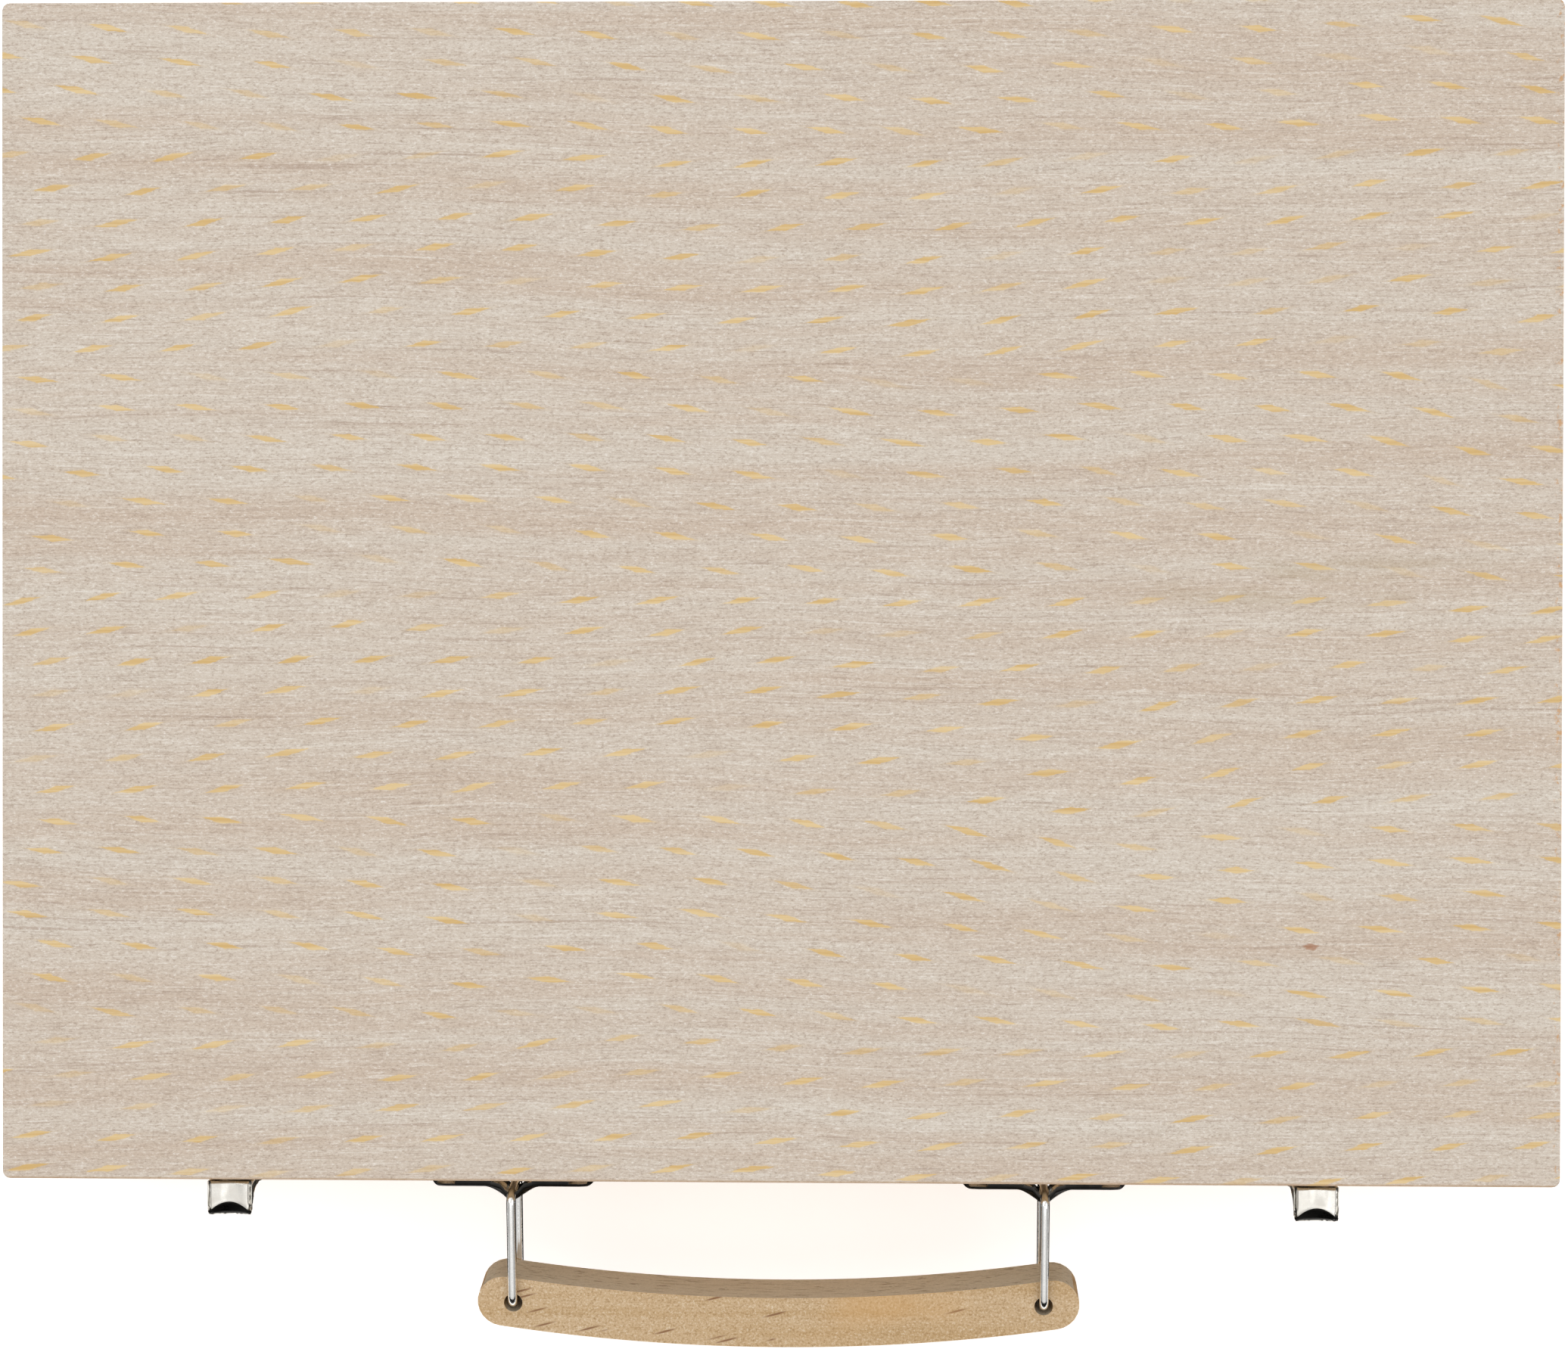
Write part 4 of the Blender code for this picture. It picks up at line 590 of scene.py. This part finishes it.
def screw_head(spot, radius, height, normal, sides=20):
    """A domed head with a crossed recess: height falls as a circle's arc from the middle, less a cross
    cut where either of two bars across the head covers a point."""
    r = np.concatenate([np.linspace(0.02, 0.96, 9), [1.0, 1.0]])
    a = np.linspace(0, 2 * np.pi, sides * 2, endpoint=False)
    R, A = np.meshgrid(r, a, indexing="ij")
    px, py = R * np.cos(A), R * np.sin(A)
    dome = np.sqrt(np.clip(1 - 0.82 * R**2, 0, 1))
    cross = (np.minimum(np.abs(px), np.abs(py)) < 0.13) & (R < 0.62)
    rise = height * np.where(cross, dome - 0.55, dome)
    rise[-1] = -0.15 * MM
    n = np.array(normal, float)
    side = np.cross(n, [0, 0, 1.0] if abs(n[2]) < 0.9 else [1.0, 0, 0])
    side /= np.linalg.norm(side)
    up = np.cross(n, side)
    return np.array(spot) + radius * (px[..., None] * side + py[..., None] * up) + rise[..., None] * n


def screws(name, heads, body, finish):
    """Many screw heads as one piece."""
    verts, faces, base = [], [], 0
    for spot, radius, height, normal in heads:
        points = screw_head(spot, radius, height, normal)
        nu, nv = points.shape[:2]
        a, b = np.meshgrid(np.arange(nu - 1), np.arange(nv), indexing="ij")
        b2 = (b + 1) % nv
        quads = np.stack([a * nv + b, (a + 1) * nv + b, (a + 1) * nv + b2, a * nv + b2], -1)
        faces += (quads.reshape(-1, 4) + base).tolist()
        faces += [[base + k for k in reversed(range(nv))]]
        faces += [[base + (nu - 1) * nv + k for k in range(nv)]]
        verts.append(points.reshape(-1, 3))
        base += nu * nv
    mesh = bpy.data.meshes.new(name)
    mesh.from_pydata(np.concatenate(verts).tolist(), [], faces)
    mesh.materials.append(finish)
    mesh.shade_smooth()
    mesh.set_sharp_from_angle(angle=math.radians(40))
    piece = bpy.data.objects.new(name, mesh)
    bpy.context.scene.collection.objects.link(piece)
    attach(piece, body)
    return piece


FRONT_ROWS, LIP_ROWS, WALL_ROWS, FLAP_COLUMNS = 24, 8, 5, 41
FLAP_LENGTH = 26.6 * MM
FLAP_FOOT_OUT = 3.3 * MM  # how far its foot stands out from the case
FLAP_BACK_OUT = 1.7 * MM  # and the back edges of its top and sides
LIP_SLOPE = 0.62
KNUCKLE_HALF, KNUCKLE_REACH, KNUCKLE_SIDES = 2.3 * MM, 2.0 * MM, 28


def hasp_flap(name, node, x0):
    """A snap flap's skin.  Its path goes up the front, over a scooped fingertip lip and back over a
    flat top; the lip starts at an arch, and falls away from it by its slope.  The sides are ruled
    from the path back to the case."""
    low, high = box_of(node)
    half = float(high[0] - low[0]) / 2
    tip, out_most = float(high[2]), FRONT - float(low[1])
    foot = tip - FLAP_LENGTH
    u = np.linspace(-1, 1, FLAP_COLUMNS)
    crease = out_most - (3.1 - 2.3 * u**2) * MM
    rim = tip - (out_most - crease) * LIP_SLOPE
    front_v = 1 - (1 - np.linspace(0, 1, FRONT_ROWS)) ** 2
    lip_v = np.linspace(0, 1, LIP_ROWS + 1)[1:]
    top_v = np.linspace(0, 1, LIP_ROWS + 1)[1:]
    belly = FLAP_FOOT_OUT + (out_most - FLAP_FOOT_OUT) * front_v**9
    channel = 0.35 * MM * np.exp(-(((u - 0.15) / 0.42) ** 4))
    P = np.concatenate([
        np.broadcast_to(belly[:, None], (FRONT_ROWS, FLAP_COLUMNS)),
        out_most + (crease - out_most) * lip_v[:, None],
        crease + (FLAP_BACK_OUT - crease) * top_v[:, None],
    ])
    Z = np.concatenate([
        foot + (rim - foot) * front_v[:, None],
        rim + (tip - rim) * lip_v[:, None] ** 0.85,
        tip - channel * top_v[:, None] * (2 - top_v[:, None]),
    ])
    X = np.broadcast_to(half * u, P.shape)
    skin = np.stack([x0 + X, FRONT - P, Z], -1)
    wall_v = np.linspace(0, 1, WALL_ROWS + 1)[1:]
    walls = []
    for column in (0, -1):
        edge = skin[:, column]
        back = edge.copy()
        back[:, 1] = FRONT - FLAP_BACK_OUT
        walls.append(edge[:, None] + (back - edge)[:, None] * wall_v[None, :, None])
    points = np.concatenate([walls[0][:, ::-1], skin, walls[1]], axis=1)
    flap = grid_mesh(name, points, NICKEL_BRUSHED)
    # The scooped lip's faces take the painted dark reflection, standing in for the dark that the chrome
    # mirrors.
    flap.data.materials.append(PAINTED_DARK_REFLECTION)
    rows, columns = np.indices((points.shape[0] - 1, points.shape[1] - 1))
    in_lip = (rows >= FRONT_ROWS - 1) & (rows < FRONT_ROWS - 1 + LIP_ROWS)
    in_lip &= (columns >= WALL_ROWS) & (columns < WALL_ROWS + FLAP_COLUMNS - 1)
    flap.data.polygons.foreach_set("material_index", in_lip.ravel().astype(np.int32))
    round_over = flap.modifiers.new("pressed_corners", "BEVEL")
    round_over.width = 0.45 * MM
    round_over.segments = 3
    round_over.limit_method = "ANGLE"
    round_over.angle_limit = math.radians(38)
    sheet = flap.modifiers.new("sheet", "SOLIDIFY")
    sheet.thickness = 0.75 * MM
    sheet.offset = -1
    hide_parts(node)
    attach(flap, node)
    pin_low, pin_high = box_of(node.replace("flap", "pin"))
    pin = (pin_low + pin_high) / 2
    barrel_x = x0 + np.linspace(-KNUCKLE_HALF, KNUCKLE_HALF, 5)
    barrel_path = np.stack([barrel_x, np.full(5, pin[1]), np.full(5, pin[2])], -1)
    angle = np.linspace(0, 2 * np.pi, KNUCKLE_SIDES, endpoint=False)
    ring = np.stack([np.zeros(KNUCKLE_SIDES), np.cos(angle), np.sin(angle)], -1) * KNUCKLE_REACH
    barrel = grid_mesh(name + "_knuckle", barrel_path[:, None] + ring, NICKEL_BRUSHED, False, True, True)
    tongue_top = foot + 1.2 * MM
    tongue_z = np.linspace(pin[2], tongue_top, 8)
    reach = np.interp(tongue_z, [pin[2], tongue_top], [4.5 * MM, 3.5 * MM])
    width = np.linspace(-2.25, 2.25, 5) * MM
    tongue_parts = np.broadcast_arrays(x0 + width[None], FRONT - reach[:, None], tongue_z[:, None])
    tongue_points = np.stack(tongue_parts, -1)
    tongue = grid_mesh(name + "_tongue", tongue_points, NICKEL_BRUSHED)
    thick = tongue.modifiers.new("sheet", "SOLIDIFY")
    thick.thickness = 0.9 * MM
    thick.offset = -1
    for part in (barrel, tongue):
        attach(part, node)


for word in ("left", "right"):
    plate_x, hasp_x = middle(f"handle_plate_{word}", 0), middle(f"hasp_{word}_flap", 0)
    handle_plate(f"stamped_handle_plate_{word}", f"handle_plate_{word}", plate_x)
    bail(f"wire_bail_{word}", f"bail_{word}", plate_x)
    hasp_flap(f"pressed_hasp_flap_{word}", f"hasp_{word}_flap", hasp_x)
    keeper(f"pressed_hasp_keeper_{word}", f"hasp_{word}_keeper", hasp_x)


# Screws' places in millimetres: out from each fitting's middle, and up.
LEAF_SCREW_OUT, LEAF_SCREW_Z = 4.6, 19.4
HINGE_SCREW_OUT, HINGE_SCREW_LOW, HINGE_SCREW_HIGH = 12.5, 25.4, 43.0
HINGE_FACE = 157.5  # the leaves' outer faces along Y


def across(spots, way, reach, radius, height):
    """Heads at (x, z) spots on a wall whose outside faces along Y, way being -1 or 1."""
    return [((x * MM, reach * MM, z * MM), radius * MM, height * MM, (0, way, 0)) for x, z in spots]


front = FRONT / MM
plate_spots = [
    ((middle(f"handle_plate_{word}", 0) + end * SCREW_OUT) / MM, PLATE_Z / MM)
    for word in ("left", "right")
    for end in (-1, 1)
]
plate_heads = across(plate_spots, -1, front - 2.15, 2.9, 0.8)
heads = screws("handle_plate_screws", plate_heads, "lid", NICKEL_BRUSHED)
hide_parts(*[f"plate_screw_{k}" for k in (1, 2, 3, 4)])
leaf_spots = [
    (middle(f"hasp_{word}_flap", 0) / MM + end * LEAF_SCREW_OUT, LEAF_SCREW_Z)
    for word in ("left", "right")
    for end in (-1, 1)
]
leaf_heads = across(leaf_spots, -1, front - 1.25, 2.1, 0.75)
screws("hasp_leaf_screws", leaf_heads, "base", NICKEL_BRUSHED)
for word, level in (("base", HINGE_SCREW_LOW), ("lid", HINGE_SCREW_HIGH)):
    spots = [
        (middle(f"hinge_{side}_base_leaf", 0) / MM + end * HINGE_SCREW_OUT, level)
        for side in ("left", "right")
        for end in (-1, 0, 1)
    ]
    hinge_heads = across(spots, 1, HINGE_FACE, 2.2, 0.7)
    screws(f"hinge_screws_on_{word}", hinge_heads, word, NICKEL_BRUSHED)


# ---------------------------------------------------------------- light, floor and camera


def studio():
    """Air that brightens upwards, four soft boxes, a matt and faintly luminous white floor, and two
    dark flags at the front that only mirrors see, so that plated edges have their dark lines."""
    scene = bpy.context.scene
    scene.view_settings.view_transform = "Standard"
    world = bpy.data.worlds.new("studio_air")
    scene.world = world
    world.use_nodes = True
    back = world.node_tree.nodes["Background"]
    back.inputs["Strength"].default_value = 1.0
    tree = world.node_tree
    split = tree.nodes.new("ShaderNodeSeparateXYZ")
    rise = tree.nodes.new("ShaderNodeMapRange")
    tree.links.new(tree.nodes.new("ShaderNodeTexCoord").outputs["Generated"], split.inputs[0])
    tree.links.new(split.outputs["Z"], rise.inputs["Value"])
    tree.links.new(rise.outputs["Result"], back.inputs["Color"])
    for name, number in (("From Min", 0.3), ("From Max", 0.8), ("To Min", 0.35), ("To Max", 0.85)):
        rise.inputs[name].default_value = number
    board = Finish("matt_white_board", 0.9, specular=0.1)
    mm = place_of(board)[0]
    board.wire(
        "Base Color",
        board.add("Mix", board.add("TexNoise", mm, 0.4, 2.0), linear("FBFBFB"), linear("FDFDFD")),
    )
    board.shader.inputs["Emission Color"].default_value = (1, 1, 1, 1)
    board.shader.inputs["Emission Strength"].default_value = 0.35
    square = np.array([[[-3, -3, 0], [-3, 3, 0]], [[3, -3, 0], [3, 3, 0]]], float)
    floor = grid_mesh("pale_floor", square - [0, 0, 0.0005], board.material, smooth=False)
    black = Finish("black_cloth_flag", 0.9, specular=0.0)
    mm = place_of(black)[0]
    black.wire(
        "Base Color",
        black.add("Mix", black.add("TexNoise", mm, 0.2, 2.0), linear("050505"), linear("0B0B0B")),
    )
    wide = np.array([-1.6, 1.6])[:, None, None] * np.array([1.0, 0, 0])
    upright = np.array([[0, -0.92, 0.02], [0, -1.0, 0.75]])[None] + wide
    strip = np.array([[0, -0.160, 0.001], [0, -0.235, 0.001]])[None] + 0.25 * wide
    for name, corners in (("black_flag", upright), ("black_strip", strip)):
        flag = grid_mesh(name, corners, black.material, smooth=False)
        flag.visible_camera = False
        flag.visible_diffuse = False
        flag.visible_shadow = False
    for name, spot, size, watts in (
        ("soft_box_left", (-1.4, 0.7, 2.0), 1.6, 10.5),
        ("soft_box_right", (1.5, -0.1, 2.1), 1.5, 8.5),
        ("soft_box_back", (0.1, 1.8, 1.5), 1.4, 4.0),
        ("soft_box_front", (0.0, -0.62, 2.0), 0.9, 3.0),
    ):
        data = bpy.data.lights.new(name, "AREA")
        data.size = size
        data.energy = watts
        lamp = bpy.data.objects.new(name, data)
        lamp.location = spot
        lamp.rotation_euler = (
            math.atan2(math.hypot(spot[0], spot[1]), spot[2]),
            0,
            math.atan2(-spot[1], -spot[0]) - math.pi / 2,
        )
        scene.collection.objects.link(lamp)


def camera():
    """A long lens, nearly straight above the case's middle."""
    data = bpy.data.cameras.new("camera")
    data.sensor_width = 36.0
    data.lens = 81.66
    data.clip_start = 0.05
    data.clip_end = 20.0
    eye = bpy.data.objects.new("camera", data)
    eye.location = (0.02754, -0.01123, 1.00465)
    eye.rotation_euler = [math.radians(a) for a in (-0.650, 1.579, 0.109)]
    bpy.context.scene.collection.objects.link(eye)
    bpy.context.scene.camera = eye


studio()
camera()
